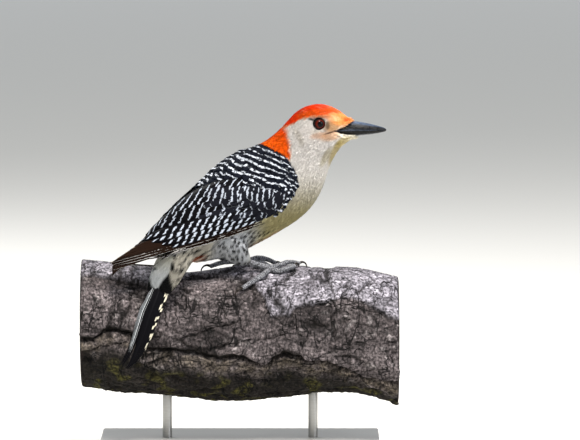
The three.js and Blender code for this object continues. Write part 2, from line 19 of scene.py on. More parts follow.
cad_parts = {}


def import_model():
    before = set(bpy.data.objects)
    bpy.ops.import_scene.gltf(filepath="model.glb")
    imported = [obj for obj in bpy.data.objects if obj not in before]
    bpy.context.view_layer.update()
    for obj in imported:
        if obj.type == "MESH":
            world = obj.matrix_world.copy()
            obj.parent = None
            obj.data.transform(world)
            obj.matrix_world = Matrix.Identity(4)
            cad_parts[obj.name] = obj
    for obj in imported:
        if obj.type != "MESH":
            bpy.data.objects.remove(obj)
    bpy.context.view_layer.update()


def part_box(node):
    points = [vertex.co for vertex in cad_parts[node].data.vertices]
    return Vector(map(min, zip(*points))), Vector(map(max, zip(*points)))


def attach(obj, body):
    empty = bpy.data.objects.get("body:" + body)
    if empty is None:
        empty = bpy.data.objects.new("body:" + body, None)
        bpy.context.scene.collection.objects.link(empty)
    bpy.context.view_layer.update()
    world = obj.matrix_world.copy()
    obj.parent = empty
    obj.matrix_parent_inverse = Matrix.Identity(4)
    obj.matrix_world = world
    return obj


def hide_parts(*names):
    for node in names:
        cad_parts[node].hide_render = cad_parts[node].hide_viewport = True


Array = np.ndarray
Chance = np.random.Generator
Pair = tuple[float, float]
Triple = tuple[float, float, float]
Tree = bpy.types.NodeTree
Socket = bpy.types.NodeSocket

MM = 0.001
TURN = 2.0 * math.pi
TINY = 1e-9
LOG = logging.getLogger("woodpecker")
NOISE_AXES = ((1.0, 0.7, -0.4), (-0.6, 1.0, 0.8), (0.3, -0.5, 1.0))
HASH_STEPS = (127.1, 311.7, 74.7)
HASH_SEED_STEP = 19.19
HASH_SCALE = 43758.5453
# The middle of the eye in side view, in mm (s, z).
EYE = (40.1, 210.7)


class Side(Enum):
    """The bird's two sides, with the sign that `out` has there."""

    RIGHT = 1
    LEFT = -1

    @property
    def label(self) -> str:
        """The side's name as pieces and CAD nodes have it."""
        return self.name.lower()


class TipShape(Enum):
    """How a feather's vane ends."""

    ROUND = "round"
    POINTED = "pointed"


# ---------------------------------------------------------------- numbers and colours


def linear(code: str) -> Array:
    """Turns an sRGB hex colour to linear light.

    Args:
        code: The colour, such as "#E2432A".

    Returns:
        Red, green and blue in linear light.
    """
    values = np.array([int(code[i : i + 2], 16) / 255 for i in (1, 3, 5)])
    # The constants of the sRGB curve.
    return np.where(values <= 0.04045, values / 12.92, ((values + 0.055) / 1.055) ** 2.4)


def ease(values: Array, low: float, high: float) -> Array:
    """Smooth step from 0 at `low` to 1 at `high`."""
    share = np.clip((values - low) / (high - low), 0.0, 1.0)
    return share * share * (3.0 - 2.0 * share)


def unit(vectors: Array) -> Array:
    """Vectors of length 1 along the last axis."""
    return vectors / np.maximum(np.linalg.norm(vectors, axis=-1, keepdims=True), TINY)


def along_surface(directions: Array, normals: Array) -> Array:
    """The part of each direction that lies in the surface, at length 1."""
    lift = np.sum(directions * normals, axis=-1, keepdims=True)
    return unit(directions - normals * lift)


def blend(first: Array, second: Array, share: Array) -> Array:
    """Mixes rows of two colour arrays by a share for each row."""
    return first + (second - first) * np.asarray(share)[..., None]


def between(first: object, last: object, share: Array) -> Array:
    """Values some share of the way from a first one to a last one."""
    return np.asarray(first) * (1 - share) + np.asarray(last) * share


def through(points: tuple[tuple[float, ...], ...], count: int) -> Array:
    """A smooth curve through points, by the Catmull-Rom rule.

    Args:
        points: The places that the curve passes.
        count: How many places to return.

    Returns:
        Evenly numbered places along the curve.
    """
    knots = np.array(points, float)
    knots = np.vstack((2 * knots[0] - knots[1], knots, 2 * knots[-1] - knots[-2]))
    spots = np.linspace(0, len(points) - 1, count)
    low = np.minimum(spots.astype(int), len(points) - 2)
    share = (spots - low)[:, None]
    before, start, end, after = (knots[low + i] for i in range(4))
    bend = 2 * before - 5 * start + 4 * end - after
    twist = 3 * start - before - 3 * end + after
    return 0.5 * (2 * start + (end - before) * share + bend * share**2 + twist * share**3)


def hashed(cells: Array, seed: int) -> Array:
    """A repeatable number from 0 to 1 for each row of whole numbers."""
    steps = np.array(HASH_STEPS)[: cells.shape[-1]]
    raw = np.sin(cells @ steps + seed * HASH_SEED_STEP) * HASH_SCALE
    return raw - np.floor(raw)


def soft_noise(places: Array, size: float, seed: int) -> Array:
    """Smooth noise from -1 to 1, with lumps about `size` across, on a grid turned off the axes."""
    width = places.shape[-1]
    turned, _ = np.linalg.qr(np.array(NOISE_AXES)[:width, :width])
    spots = places @ turned / size
    base = np.floor(spots)
    share = spots - base
    share = share * share * (3 - 2 * share)
    total = np.zeros(len(places))
    for corner in np.ndindex(*(2,) * width):
        step = np.array(corner, float)
        weight = np.prod(np.where(step > 0, share, 1 - share), axis=-1)
        total += weight * hashed(base + step, seed)
    return 2 * total - 1


# ---------------------------------------------------------------- the bird's frame and its surface


@dataclass(frozen=True)
class BirdFrame:
    """The bird's own frame: straight at the tail, a bend at the neck, straight again at the head."""

    start_x: float = 10.0
    start_y: float = -8.0
    trunk_yaw: float = math.radians(20.0)
    head_yaw: float = math.radians(5.0)
    bend_start: float = 12.0
    bend_end: float = 33.0

    @property
    def radius(self) -> float:
        """Radius of the bend, in mm."""
        return (self.bend_end - self.bend_start) / (self.trunk_yaw - self.head_yaw)

    def to_world(self, places: Array) -> Array:
        """Turns places in the bird's frame, in mm, to the shared frame, in metres."""
        s, out, z = np.asarray(places, float).T
        turned = np.clip((s - self.bend_start) / (self.bend_end - self.bend_start), 0, 1)
        yaw = self.trunk_yaw + (self.head_yaw - self.trunk_yaw) * turned
        straight = np.minimum(s, self.bend_start)
        beyond = np.maximum(0.0, s - self.bend_end)
        x = self.start_x + straight * math.cos(self.trunk_yaw) + beyond * math.cos(self.head_yaw)
        y = self.start_y + straight * math.sin(self.trunk_yaw) + beyond * math.sin(self.head_yaw)
        x += self.radius * (math.sin(self.trunk_yaw) - np.sin(yaw)) + out * np.sin(yaw)
        y += self.radius * (np.cos(yaw) - math.cos(self.trunk_yaw)) - out * np.cos(yaw)
        return np.stack((x, y, z), axis=1) * MM

    def to_bird(self, points: Array) -> Array:
        """Turns points of the shared frame, in metres, to the bird's frame, in mm."""
        points = np.asarray(points, float) / MM
        flat = points[:, :2] - np.array([self.start_x, self.start_y])
        trunk = np.array([math.cos(self.trunk_yaw), math.sin(self.trunk_yaw)])
        head = np.array([math.cos(self.head_yaw), math.sin(self.head_yaw)])
        trunk_out = np.array([trunk[1], -trunk[0]])
        head_out = np.array([head[1], -head[0]])
        centre = trunk * self.bend_start + trunk_out * self.radius
        spoke = flat - centre
        yaw = np.arctan2(-spoke[:, 0], spoke[:, 1])
        s = self.bend_start + (self.trunk_yaw - yaw) * self.radius
        out = self.radius - np.linalg.norm(spoke, axis=1)
        ahead = flat - (centre - head_out * self.radius)
        in_head = ahead @ head > 0
        s = np.where(in_head, self.bend_end + ahead @ head, s)
        out = np.where(in_head, ahead @ head_out, out)
        in_trunk = flat @ trunk <= self.bend_start
        s = np.where(in_trunk, flat @ trunk, s)
        out = np.where(in_trunk, flat @ trunk_out, out)
        return np.stack((s, out, points[:, 2]), axis=1)


BIRD = BirdFrame()


class Surface:
    """A closed surface in the bird's frame that feathers are laid on."""

    def __init__(self, places: Array, triangles: Array) -> None:
        """Keeps the mesh, its smooth normals and a search tree.

        Args:
            places: Corners, in mm.
            triangles: Corner numbers of each triangle, wound so that faces point outwards.
        """
        self.places = places
        self.triangles = triangles
        self.tree = BVHTree.FromPolygons(places.tolist(), triangles.tolist())
        corners = places[triangles]
        crossed = np.cross(corners[:, 1] - corners[:, 0], corners[:, 2] - corners[:, 0])
        self.areas = np.linalg.norm(crossed, axis=1) / 2
        smooth = np.zeros_like(places)
        for corner in range(3):
            np.add.at(smooth, triangles[:, corner], crossed)
        self.corner_normals = unit(smooth)
        self.face_normals = unit(self.corner_normals[triangles].mean(axis=1))

    def nearest(self, places: Array) -> tuple[Array, Array]:
        """The surface places nearest to some places, with the normals there."""
        found = [self.tree.find_nearest(place) for place in places.tolist()]
        spots = np.array([hit[0] for hit in found])
        return spots, self.face_normals[[hit[2] for hit in found]]

    def cast(self, starts: Array, direction: Triple) -> Array:
        """Where rays meet the surface, with each row not-a-number where a ray misses."""
        ray = Vector(direction)
        found = [self.tree.ray_cast(Vector(start), ray)[0] for start in starts.tolist()]
        return np.array([hit if hit is not None else (math.nan,) * 3 for hit in found])

    def scatter(self, spacing: Callable[[Array], Array], rng: Chance) -> Array:
        """Spreads places over the surface, none nearer to another than the spacing there.

        Args:
            spacing: Gives the least distance in mm at each place, or 0 where none is wanted.
            rng: The seeded source of chance.

        Returns:
            The chosen places.
        """
        wanted = spacing(self.places[self.triangles].mean(axis=1))
        tries_per_place = 5.0
        weight = np.where(wanted > 0, self.areas / np.maximum(wanted, 0.1) ** 2, 0.0)
        count = int(weight.sum() * tries_per_place)
        chosen = rng.choice(len(weight), count, p=weight / weight.sum())
        share = rng.random((count, 2))
        over = share.sum(axis=1) > 1
        share[over] = 1 - share[over]
        corners = self.places[self.triangles[chosen]]
        sides = corners[:, 1:] - corners[:, :1]
        places = corners[:, 0] + sides[:, 0] * share[:, :1] + sides[:, 1] * share[:, 1:]
        gaps = spacing(places)
        tree = kdtree.KDTree(count)
        for number, place in enumerate(places.tolist()):
            tree.insert(place, number)
        tree.balance()
        taken = gaps <= 0
        kept = []
        for number, place in enumerate(places.tolist()):
            if not taken[number]:
                kept.append(number)
                for _, other, _ in tree.find_range(place, gaps[number]):
                    taken[other] = True
        return places[kept]


@dataclass(frozen=True)
class Spine:
    """The middle line of body and tail base, which the lie of the coat follows."""

    points: tuple[Triple, ...] = (
        (-69.0, 12.0, 107.4), (-64.0, 9.1, 115.0), (-56.4, 4.0, 125.6), (-46.0, 1.0, 136.0),
        (-29.0, 0.0, 148.5), (-2.0, 0.0, 165.5), (14.0, 0.0, 174.0), (23.5, 0.0, 183.0), (31.0, 0.0, 194.0),
        (41.0, 0.0, 205.0), (52.0, 0.0, 210.0), (64.0, 0.0, 208.5),
    )
    samples: int = 200

    def locate(self, places: Array) -> tuple[Array, Array, Array]:
        """Finds where places are along and round the spine.

        Args:
            places: Places in the bird's frame.

        Returns:
            The share of the length from tail to bill, the angle from the back in radians, and the
            spine's direction towards the bill.
        """
        line = through(self.points, self.samples)
        tangents = unit(np.gradient(line, axis=0))
        nearest = np.empty(len(places), int)
        chunk = 20000
        for start in range(0, len(places), chunk):
            part = places[start : start + chunk]
            squares = (line**2).sum(axis=1)[None, :] - 2 * part @ line.T
            nearest[start : start + chunk] = squares.argmin(axis=1)
        ahead = tangents[nearest]
        up = unit(np.stack((-ahead[:, 2], np.zeros(len(ahead)), ahead[:, 0]), axis=1))
        offset = places - line[nearest]
        angle = np.arctan2(offset[:, 1], np.sum(offset * up, axis=1))
        return nearest / (self.samples - 1), angle, ahead


SPINE = Spine()


# ---------------------------------------------------------------- meshes


@dataclass
class Shape:
    """A mesh as arrays, with what is painted on its corners."""

    places: Array
    faces: list[Array]
    colours: dict[str, Array] = field(default_factory=dict)
    maps: dict[str, Array] = field(default_factory=dict)

    @staticmethod
    def joined(shapes: list["Shape"]) -> "Shape":
        """One shape that holds several."""
        starts = np.cumsum([0] + [len(shape.places) for shape in shapes[:-1]])
        faces = [part + start for shape, start in zip(shapes, starts) for part in shape.faces]
        first = shapes[0]
        return Shape(
            np.concatenate([shape.places for shape in shapes]),
            faces,
            {key: np.concatenate([s.colours[key] for s in shapes]) for key in first.colours},
            {key: np.concatenate([s.maps[key] for s in shapes]) for key in first.maps},
        )


def tube_faces(rings: int, sides: int, closed: bool = False) -> Array:
    """Faces between the rings of a tube, whose last ring meets the first where it is closed."""
    corner = np.arange(sides)
    following = (corner + 1) % sides
    faces = []
    for ring in range(rings if closed else rings - 1):
        near, far = ring * sides, (ring + 1) % rings * sides
        faces.append(np.stack((near + corner, far + corner, far + following, near + following), axis=1))
    return np.concatenate(faces)


def mesh_object(name: str, shape: Shape, mirrored: bool = False) -> bpy.types.Object:
    """Makes a Blender object from a shape.

    Args:
        name: The object's name.
        shape: The mesh, with its places in metres.
        mirrored: True where the faces wind the wrong way, as after the bird's frame.

    Returns:
        The object, smooth shaded, with its attributes and UV maps.
    """
    mesh = bpy.data.meshes.new(name)
    faces = [part[:, ::-1] if mirrored else part for part in shape.faces if len(part)]
    sizes = np.concatenate([np.full(len(part), part.shape[1]) for part in faces])
    corners = np.concatenate([part.ravel() for part in faces]).astype(np.int32)
    mesh.vertices.add(len(shape.places))
    mesh.vertices.foreach_set("co", np.asarray(shape.places, np.float32).ravel())
    mesh.loops.add(len(corners))
    mesh.loops.foreach_set("vertex_index", corners)
    mesh.polygons.add(len(sizes))
    mesh.polygons.foreach_set("loop_start", np.concatenate(([0], np.cumsum(sizes)[:-1])).astype(np.int32))
    mesh.polygons.foreach_set("use_smooth", np.ones(len(sizes), bool))
    mesh.update(calc_edges=True)
    for key, values in shape.colours.items():
        layer = mesh.color_attributes.new(key, "FLOAT_COLOR", "POINT")
        full = np.ones((len(values), 4), np.float32)
        full[:, : values.shape[1]] = values
        layer.data.foreach_set("color", full.ravel())
    for key, values in shape.maps.items():
        layer = mesh.uv_layers.new(name=key)
        layer.data.foreach_set("uv", np.asarray(values, np.float32)[corners].ravel())
    mesh.validate()
    piece = bpy.data.objects.new(name, mesh)
    bpy.context.scene.collection.objects.link(piece)
    return piece


def select_only(piece: bpy.types.Object) -> None:
    """Makes one object the active and only selected one."""
    bpy.ops.object.select_all(action="DESELECT")
    piece.select_set(True)
    bpy.context.view_layer.objects.active = piece


def apply_modifier(piece: bpy.types.Object, kind: str, **settings: object) -> None:
    """Adds a modifier with its settings and applies it."""
    select_only(piece)
    modifier = piece.modifiers.new(kind.lower(), kind)
    for key, value in settings.items():
        setattr(modifier, key, value)
    bpy.ops.object.modifier_apply(modifier=modifier.name)


def merged_copy(name: str, nodes: tuple[str, ...], grow: float = 0.0) -> bpy.types.Object:
    """Copies CAD nodes into one new object, with their loose triangles merged.

    Args:
        name: The new object's name.
        nodes: The CAD nodes to copy.
        grow: How far to push the surface outwards, in mm.

    Returns:
        The new object.
    """
    mesh = bpy.data.meshes.new(name)
    shell = bmesh.new()
    for node in nodes:
        shell.from_mesh(bpy.data.objects[node].data)
    bmesh.ops.remove_doubles(shell, verts=shell.verts, dist=1e-6)
    shell.normal_update()
    for corner in shell.verts:
        corner.co += corner.normal * (grow * MM)
    shell.to_mesh(mesh)
    shell.free()
    piece = bpy.data.objects.new(name, mesh)
    bpy.context.scene.collection.objects.link(piece)
    return piece


def mesh_arrays(piece: bpy.types.Object) -> tuple[Array, Array]:
    """Corner places in metres and triangles of an object's mesh."""
    mesh = piece.data
    mesh.calc_loop_triangles()
    places = np.empty(len(mesh.vertices) * 3, np.float32)
    mesh.vertices.foreach_get("co", places)
    triangles = np.empty(len(mesh.loop_triangles) * 3, np.int32)
    mesh.loop_triangles.foreach_get("vertices", triangles)
    return places.reshape(-1, 3).astype(float), triangles.reshape(-1, 3)


def even_skin(nodes: tuple[str, ...], voxel: float, rounds: int, grow: float = 0.0) -> tuple[Array, Array]:
    """CAD nodes merged into one evenly meshed, softened skin.

    Args:
        nodes: The CAD nodes.
        voxel: Size of the mesh's cells, in mm.
        rounds: How many times it is smoothed.
        grow: How far the nodes are pushed outwards first, in mm.

    Returns:
        Its corner places in metres, and its triangles.
    """
    piece = merged_copy("skin_form", nodes, grow)
    apply_modifier(piece, "REMESH", mode="VOXEL", voxel_size=voxel * MM)
    apply_modifier(piece, "SMOOTH", factor=0.5, iterations=rounds)
    points, triangles = mesh_arrays(piece)
    bpy.data.objects.remove(piece)
    return points, triangles


def add_solid(name: str, kind: str, **settings: object) -> bpy.types.Object:
    """Adds one of Blender's ready solids, with its place and size applied.

    Args:
        name: The object's name.
        kind: The solid, such as "cube".
        settings: Its sizes and place.

    Returns:
        The object.
    """
    bpy.ops.object.select_all(action="DESELECT")
    getattr(bpy.ops.mesh, f"primitive_{kind}_add")(**settings)
    piece = bpy.context.active_object
    piece.name = name
    bpy.ops.object.transform_apply(location=True, rotation=True, scale=True)
    return piece


def add_piece(
    name: str,
    shape: Shape,
    finish: "Finish",
    replaced: tuple[str, ...] = (),
    mirrored: bool = True,
) -> None:
    """Makes a piece from a shape and finishes it.

    Args:
        name: What the piece is called.
        shape: Its points and faces.
        finish: Its material.
        replaced: The CAD nodes that it stands in for.
        mirrored: Whether its faces are turned over.
    """
    finish_piece(mesh_object(name, shape, mirrored), finish, replaced)


def finish_piece(
    piece: bpy.types.Object, finish: "Finish", replaced: tuple[str, ...] = ()
) -> None:
    """Gives a piece its finish, its body and the CAD nodes it stands for."""
    piece.data.materials.clear()
    piece.data.materials.append(finish.material())
    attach(piece, "root")
    if replaced:
        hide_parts(*replaced)
    mesh = piece.data
    LOG.info("%s: %d faces, %d corners", piece.name, len(mesh.polygons), len(mesh.vertices))


# ---------------------------------------------------------------- finishes


SMOOTH = {"interpolation_type": "SMOOTHSTEP"}
COLOURS = {"data_type": "RGBA"}


def add_node(
    tree: Tree,
    kind: str,
    *values: object,
    inputs: dict[str | int, object] | None = None,
    **settings: object,
) -> bpy.types.bpy_prop_collection:
    """Adds a shader node.

    Args:
        tree: The node tree that it joins.
        kind: The node's type, without its common prefix.
        values: A value, or another node's output to link, for each of its first inputs.
        inputs: The same for inputs by name or number.
        settings: Properties to set on it.

    Returns:
        The new node's outputs.
    """
    node = tree.nodes.new("ShaderNode" + kind)
    for key, value in settings.items():
        setattr(node, key, value)
    for key, value in (dict(enumerate(values)) | (inputs or {})).items():
        if isinstance(value, Socket):
            tree.links.new(value, node.inputs[key])
        else:
            node.inputs[key].default_value = value
    return node.outputs


def colour(code: str) -> tuple[float, float, float, float]:
    """A hex colour as a node input takes it."""
    return (*linear(code), 1.0)


@dataclass(frozen=True)
class Finish:
    """A surface finish: what the real surface is and how it was made."""

    name: str

    def material(self) -> bpy.types.Material:
        """The finish as a material, made once."""
        found = bpy.data.materials.get(self.name)
        if found is not None:
            return found
        made = bpy.data.materials.new(self.name)
        made.use_nodes = True
        tree = made.node_tree
        tree.nodes.clear()
        surface = add_node(tree, "BsdfPrincipled", inputs=self.paint(tree))[0]
        add_node(tree, "OutputMaterial", surface)
        return made

    def paint(self, tree: Tree) -> dict[str, object]:
        """What the inputs of the surface's shader take."""
        raise NotImplementedError

    @staticmethod
    def bump(tree: Tree, height: Socket, depth: float) -> Socket:
        """The normals of a relief of some depth in mm."""
        return add_node(tree, "Bump", inputs={"Height": height, "Distance": depth * MM, "Strength": 1.0})[0]

    @staticmethod
    def shaded(tree: Tree, ground: object, shade: Socket) -> Socket:
        """A colour made darker or lighter by a shade."""
        grey = add_node(tree, "CombineXYZ", shade, shade, shade)[0]
        return add_node(tree, "Mix", 1.0, inputs={6: ground, 7: grey}, blend_type="MULTIPLY", **COLOURS)[2]

    @staticmethod
    def object_noise(tree: Tree, size: float, stretch: Triple = (1, 1, 1), detail: float = 3.0) -> Socket:
        """Noise over the object's own coordinates, with lumps of some mm, stretched along axes."""
        place = add_node(tree, "TexCoord")["Object"]
        scale = tuple(1.0 / part for part in stretch)
        mapped = add_node(tree, "Mapping", inputs={"Vector": place, "Scale": scale})[0]
        inputs = {"Vector": mapped, "Scale": 1.0 / (size * MM), "Detail": detail}
        return add_node(tree, "TexNoise", inputs=inputs)["Fac"]


@dataclass(frozen=True)
class Plumage(Finish):
    """Feather keratin: pigment painted per feather, bars across the vanes, fine barbs.

    Barbs of a real vane lie about 0.1 mm apart; they are drawn about 0.3 mm apart, so that they show.
    """

    roughness: float = 0.75
    sheen: float = 0.03
    relief: float = 0.05
    lustre: float = 0.04
    breaks: float = 0.0
    waver: float = 0.4

    def paint(self, tree: Tree) -> dict[str, object]:
        """Mixes ground and mark colours by the bars, fringe and barbs of each vane."""
        ground = add_node(tree, "Attribute", attribute_name="Coat")["Color"]
        mark = add_node(tree, "Attribute", attribute_name="Mark")["Color"]
        bars = add_node(tree, "Attribute", attribute_name="Bars")
        width = bars["Alpha"]
        across, along, _ = add_node(tree, "SeparateXYZ", add_node(tree, "UVMap", uv_map="Vane")[0])
        edge = add_node(tree, "Math", across, operation="ABSOLUTE")[0]
        noise = self.object_noise(tree, 1.6)
        bar = self.bar(tree, bars["Color"], edge, noise)
        rim = add_node(tree, "Math", edge, along, operation="MAXIMUM")[0]
        rim = add_node(tree, "Math", rim, width, operation="ADD")[0]
        fringe = add_node(tree, "MapRange", rim, 1.0, 1.08, 0.0, 1.0, **SMOOTH)[0]
        fringed = add_node(tree, "Math", width, 0.001, operation="GREATER_THAN")[0]
        fringe = add_node(tree, "Math", fringe, fringed, operation="MULTIPLY")[0]
        marked = add_node(tree, "Math", bar, fringe, operation="MAXIMUM")[0]
        pigment = add_node(tree, "Mix", marked, inputs={6: ground, 7: mark}, **COLOURS)[2]
        slanted = add_node(tree, "Math", edge, 2.5, along, operation="MULTIPLY_ADD")[0]
        spot = add_node(tree, "CombineXYZ", slanted, noise)[0]
        inputs = {"Vector": spot, "Scale": 9.0, "Detail": 2.0}
        barbs = add_node(tree, "TexNoise", inputs=inputs, noise_dimensions="2D")["Fac"]
        shade = add_node(tree, "MapRange", barbs, 0.3, 0.7, 0.86, 1.08, **SMOOTH)[0]
        return {
            "Base Color": self.shaded(tree, pigment, shade),
            "Roughness": self.roughness,
            "Specular IOR Level": self.lustre,
            "Sheen Weight": self.sheen,
            "Sheen Roughness": 0.5,
            "Normal": self.bump(tree, barbs, self.relief),
        }

    def bar(self, tree: Tree, painted: Socket, edge: Socket, noise: Socket) -> Socket:
        """Where the vane is barred.

        Args:
            tree: The node tree.
            painted: Each place's bar number, the share of it that is marked, and how far out bars reach.
            edge: How far out on the vane a place is.
            noise: What the bars waver by.

        Returns:
            1 on a bar, 0 off it.
        """
        phase, duty, reach = add_node(tree, "SeparateXYZ", painted)
        swing = add_node(tree, "Math", noise, 0.5, operation="SUBTRACT")[0]
        wobble = add_node(tree, "Math", swing, self.waver, phase, operation="MULTIPLY_ADD")[0]
        saw = add_node(tree, "Math", wobble, operation="FRACT")[0]
        offset = add_node(tree, "Math", saw, 0.5, operation="SUBTRACT")[0]
        from_middle = add_node(tree, "Math", offset, operation="ABSOLUTE")[0]
        half_bar = add_node(tree, "Math", duty, 0.5, operation="MULTIPLY")[0]
        past_bar = add_node(tree, "Math", from_middle, half_bar, operation="SUBTRACT")[0]
        past_reach = add_node(tree, "Math", edge, reach, operation="SUBTRACT")[0]
        shares = [
            add_node(tree, "MapRange", past_bar, -0.05, 0.05, 1.0, 0.0, **SMOOTH)[0],
            add_node(tree, "MapRange", duty, 0.0, 0.05, 0.0, 1.0, **SMOOTH)[0],
            add_node(tree, "MapRange", past_reach, -0.1, 0.1, 1.0, 0.0, **SMOOTH)[0],
        ]
        if self.breaks:
            gaps = self.object_noise(tree, 2.2, (1.0, 1.0, 0.6))
            low, high = self.breaks - 0.05, self.breaks + 0.05
            shares.append(add_node(tree, "MapRange", gaps, low, high, 0.0, 1.0, **SMOOTH)[0])
        bar = shares[0]
        for share in shares[1:]:
            bar = add_node(tree, "Math", bar, share, operation="MULTIPLY")[0]
        return bar


@dataclass(frozen=True)
class BareSkin(Finish):
    """Dry skin and down under the coat, in the coat's own colours."""

    def paint(self, tree: Tree) -> dict[str, object]:
        """Takes the painted colour, with painted shade in the down's hollows."""
        ground = add_node(tree, "Attribute", attribute_name="Coat")["Color"]
        down = self.object_noise(tree, 0.8)
        shade = add_node(tree, "MapRange", down, 0.3, 0.7, 0.8, 1.0, **SMOOTH)[0]
        return {
            "Base Color": self.shaded(tree, ground, shade),
            "Roughness": 0.85,
            "Specular IOR Level": 0.1,
            "Normal": self.bump(tree, down, 0.2),
        }


@dataclass(frozen=True)
class Horn(Finish):
    """Keratin horn, worn smooth: grown in long fibres, so it is streaked and softly glossy."""

    dark: str = "#050608"
    light: str = "#343D4D"
    roughness: float = 0.3
    streak: float = 0.5
    wear_painted: bool = False

    def paint(self, tree: Tree) -> dict[str, object]:
        """Streaks along the growth and a grey bloom where the keratin flakes; on the bill the painted blue
        grey is also a painted sheen along the ridge.
        """
        streaks = self.object_noise(tree, self.streak, (9.0, 1.0, 1.0))
        bloom = self.object_noise(tree, 3.5)
        if self.wear_painted:
            amount = add_node(tree, "Attribute", attribute_name="Wear")["Fac"]
            streaky = add_node(tree, "MapRange", streaks, 0.3, 0.6, 0.25, 1.0, **SMOOTH)[0]
        else:
            amount = bloom
            streaky = add_node(tree, "MapRange", streaks, 0.45, 0.7, 0.0, 1.0, **SMOOTH)[0]
        worn = add_node(tree, "Math", streaky, amount, operation="MULTIPLY")[0]
        ends = {6: colour(self.dark), 7: colour(self.light)}
        low, high = self.roughness * 0.8, self.roughness * 1.4
        return {
            "Base Color": add_node(tree, "Mix", worn, inputs=ends, **COLOURS)[2],
            "Roughness": add_node(tree, "MapRange", bloom, 0.3, 0.7, low, high, **SMOOTH)[0],
            "Specular IOR Level": 0.14,
            "Coat Weight": 0.06,
            "Coat Roughness": 0.2,
            "Normal": self.bump(tree, streaks, 0.08),
        }


@dataclass(frozen=True)
class EyeGlass(Finish):
    """A blown glass eye with a painted iris, as a taxidermist sets: wet gloss over dark red brown."""

    pupil_share: float = 0.52
    iris_share: float = 0.84

    def paint(self, tree: Tree) -> dict[str, object]:
        """Rings of colour by the distance from the middle of the gaze."""
        gaze = add_node(tree, "Attribute", attribute_name="Gaze")["Color"]
        radius = add_node(tree, "SeparateXYZ", gaze)[0]
        fibres = self.object_noise(tree, 0.5)
        ends = {6: colour("#2A0703"), 7: colour("#5A170A")}
        iris = add_node(tree, "Mix", fibres, inputs=ends, **COLOURS)[2]
        low, high = self.iris_share - 0.12, self.iris_share
        ring = add_node(tree, "MapRange", radius, low, high, 0.0, 1.0, **SMOOTH)[0]
        rimmed = add_node(tree, "Mix", ring, inputs={6: iris, 7: colour("#070403")}, **COLOURS)[2]
        low, high = self.pupil_share - 0.04, self.pupil_share + 0.04
        pupil = add_node(tree, "MapRange", radius, low, high, 1.0, 0.0, **SMOOTH)[0]
        base = add_node(tree, "Mix", pupil, inputs={6: rimmed, 7: colour("#030304")}, **COLOURS)[2]
        return {
            "Base Color": base,
            "Roughness": 0.6,
            "Specular IOR Level": 0.0,
            "Coat Weight": 0.2,
            "Coat Roughness": 0.02,
        }


@dataclass(frozen=True)
class ScaledSkin(Finish):
    """Horny scaled skin of a bird's foot: olive grey scutes with pale dry edges."""

    def paint(self, tree: Tree) -> dict[str, object]:
        """Scutes by the painted relief, mottled with grime."""
        scute = add_node(tree, "Attribute", attribute_name="Scute")["Color"]
        height = add_node(tree, "SeparateXYZ", scute)[0]
        grime = add_node(tree, "MapRange", self.object_noise(tree, 0.9), 0.35, 0.65, 0.0, 1.0, **SMOOTH)[0]
        ends = {6: colour("#3A3B3F"), 7: colour("#8E9096")}
        body = add_node(tree, "Mix", grime, inputs=ends, **COLOURS)[2]
        seams = add_node(tree, "MapRange", height, 0.2, 0.75, 0.0, 1.0, **SMOOTH)[0]
        base = add_node(tree, "Mix", seams, inputs={6: colour("#151517"), 7: body}, **COLOURS)[2]
        return {"Base Color": base, "Roughness": 0.55, "Normal": self.bump(tree, height, 0.25)}


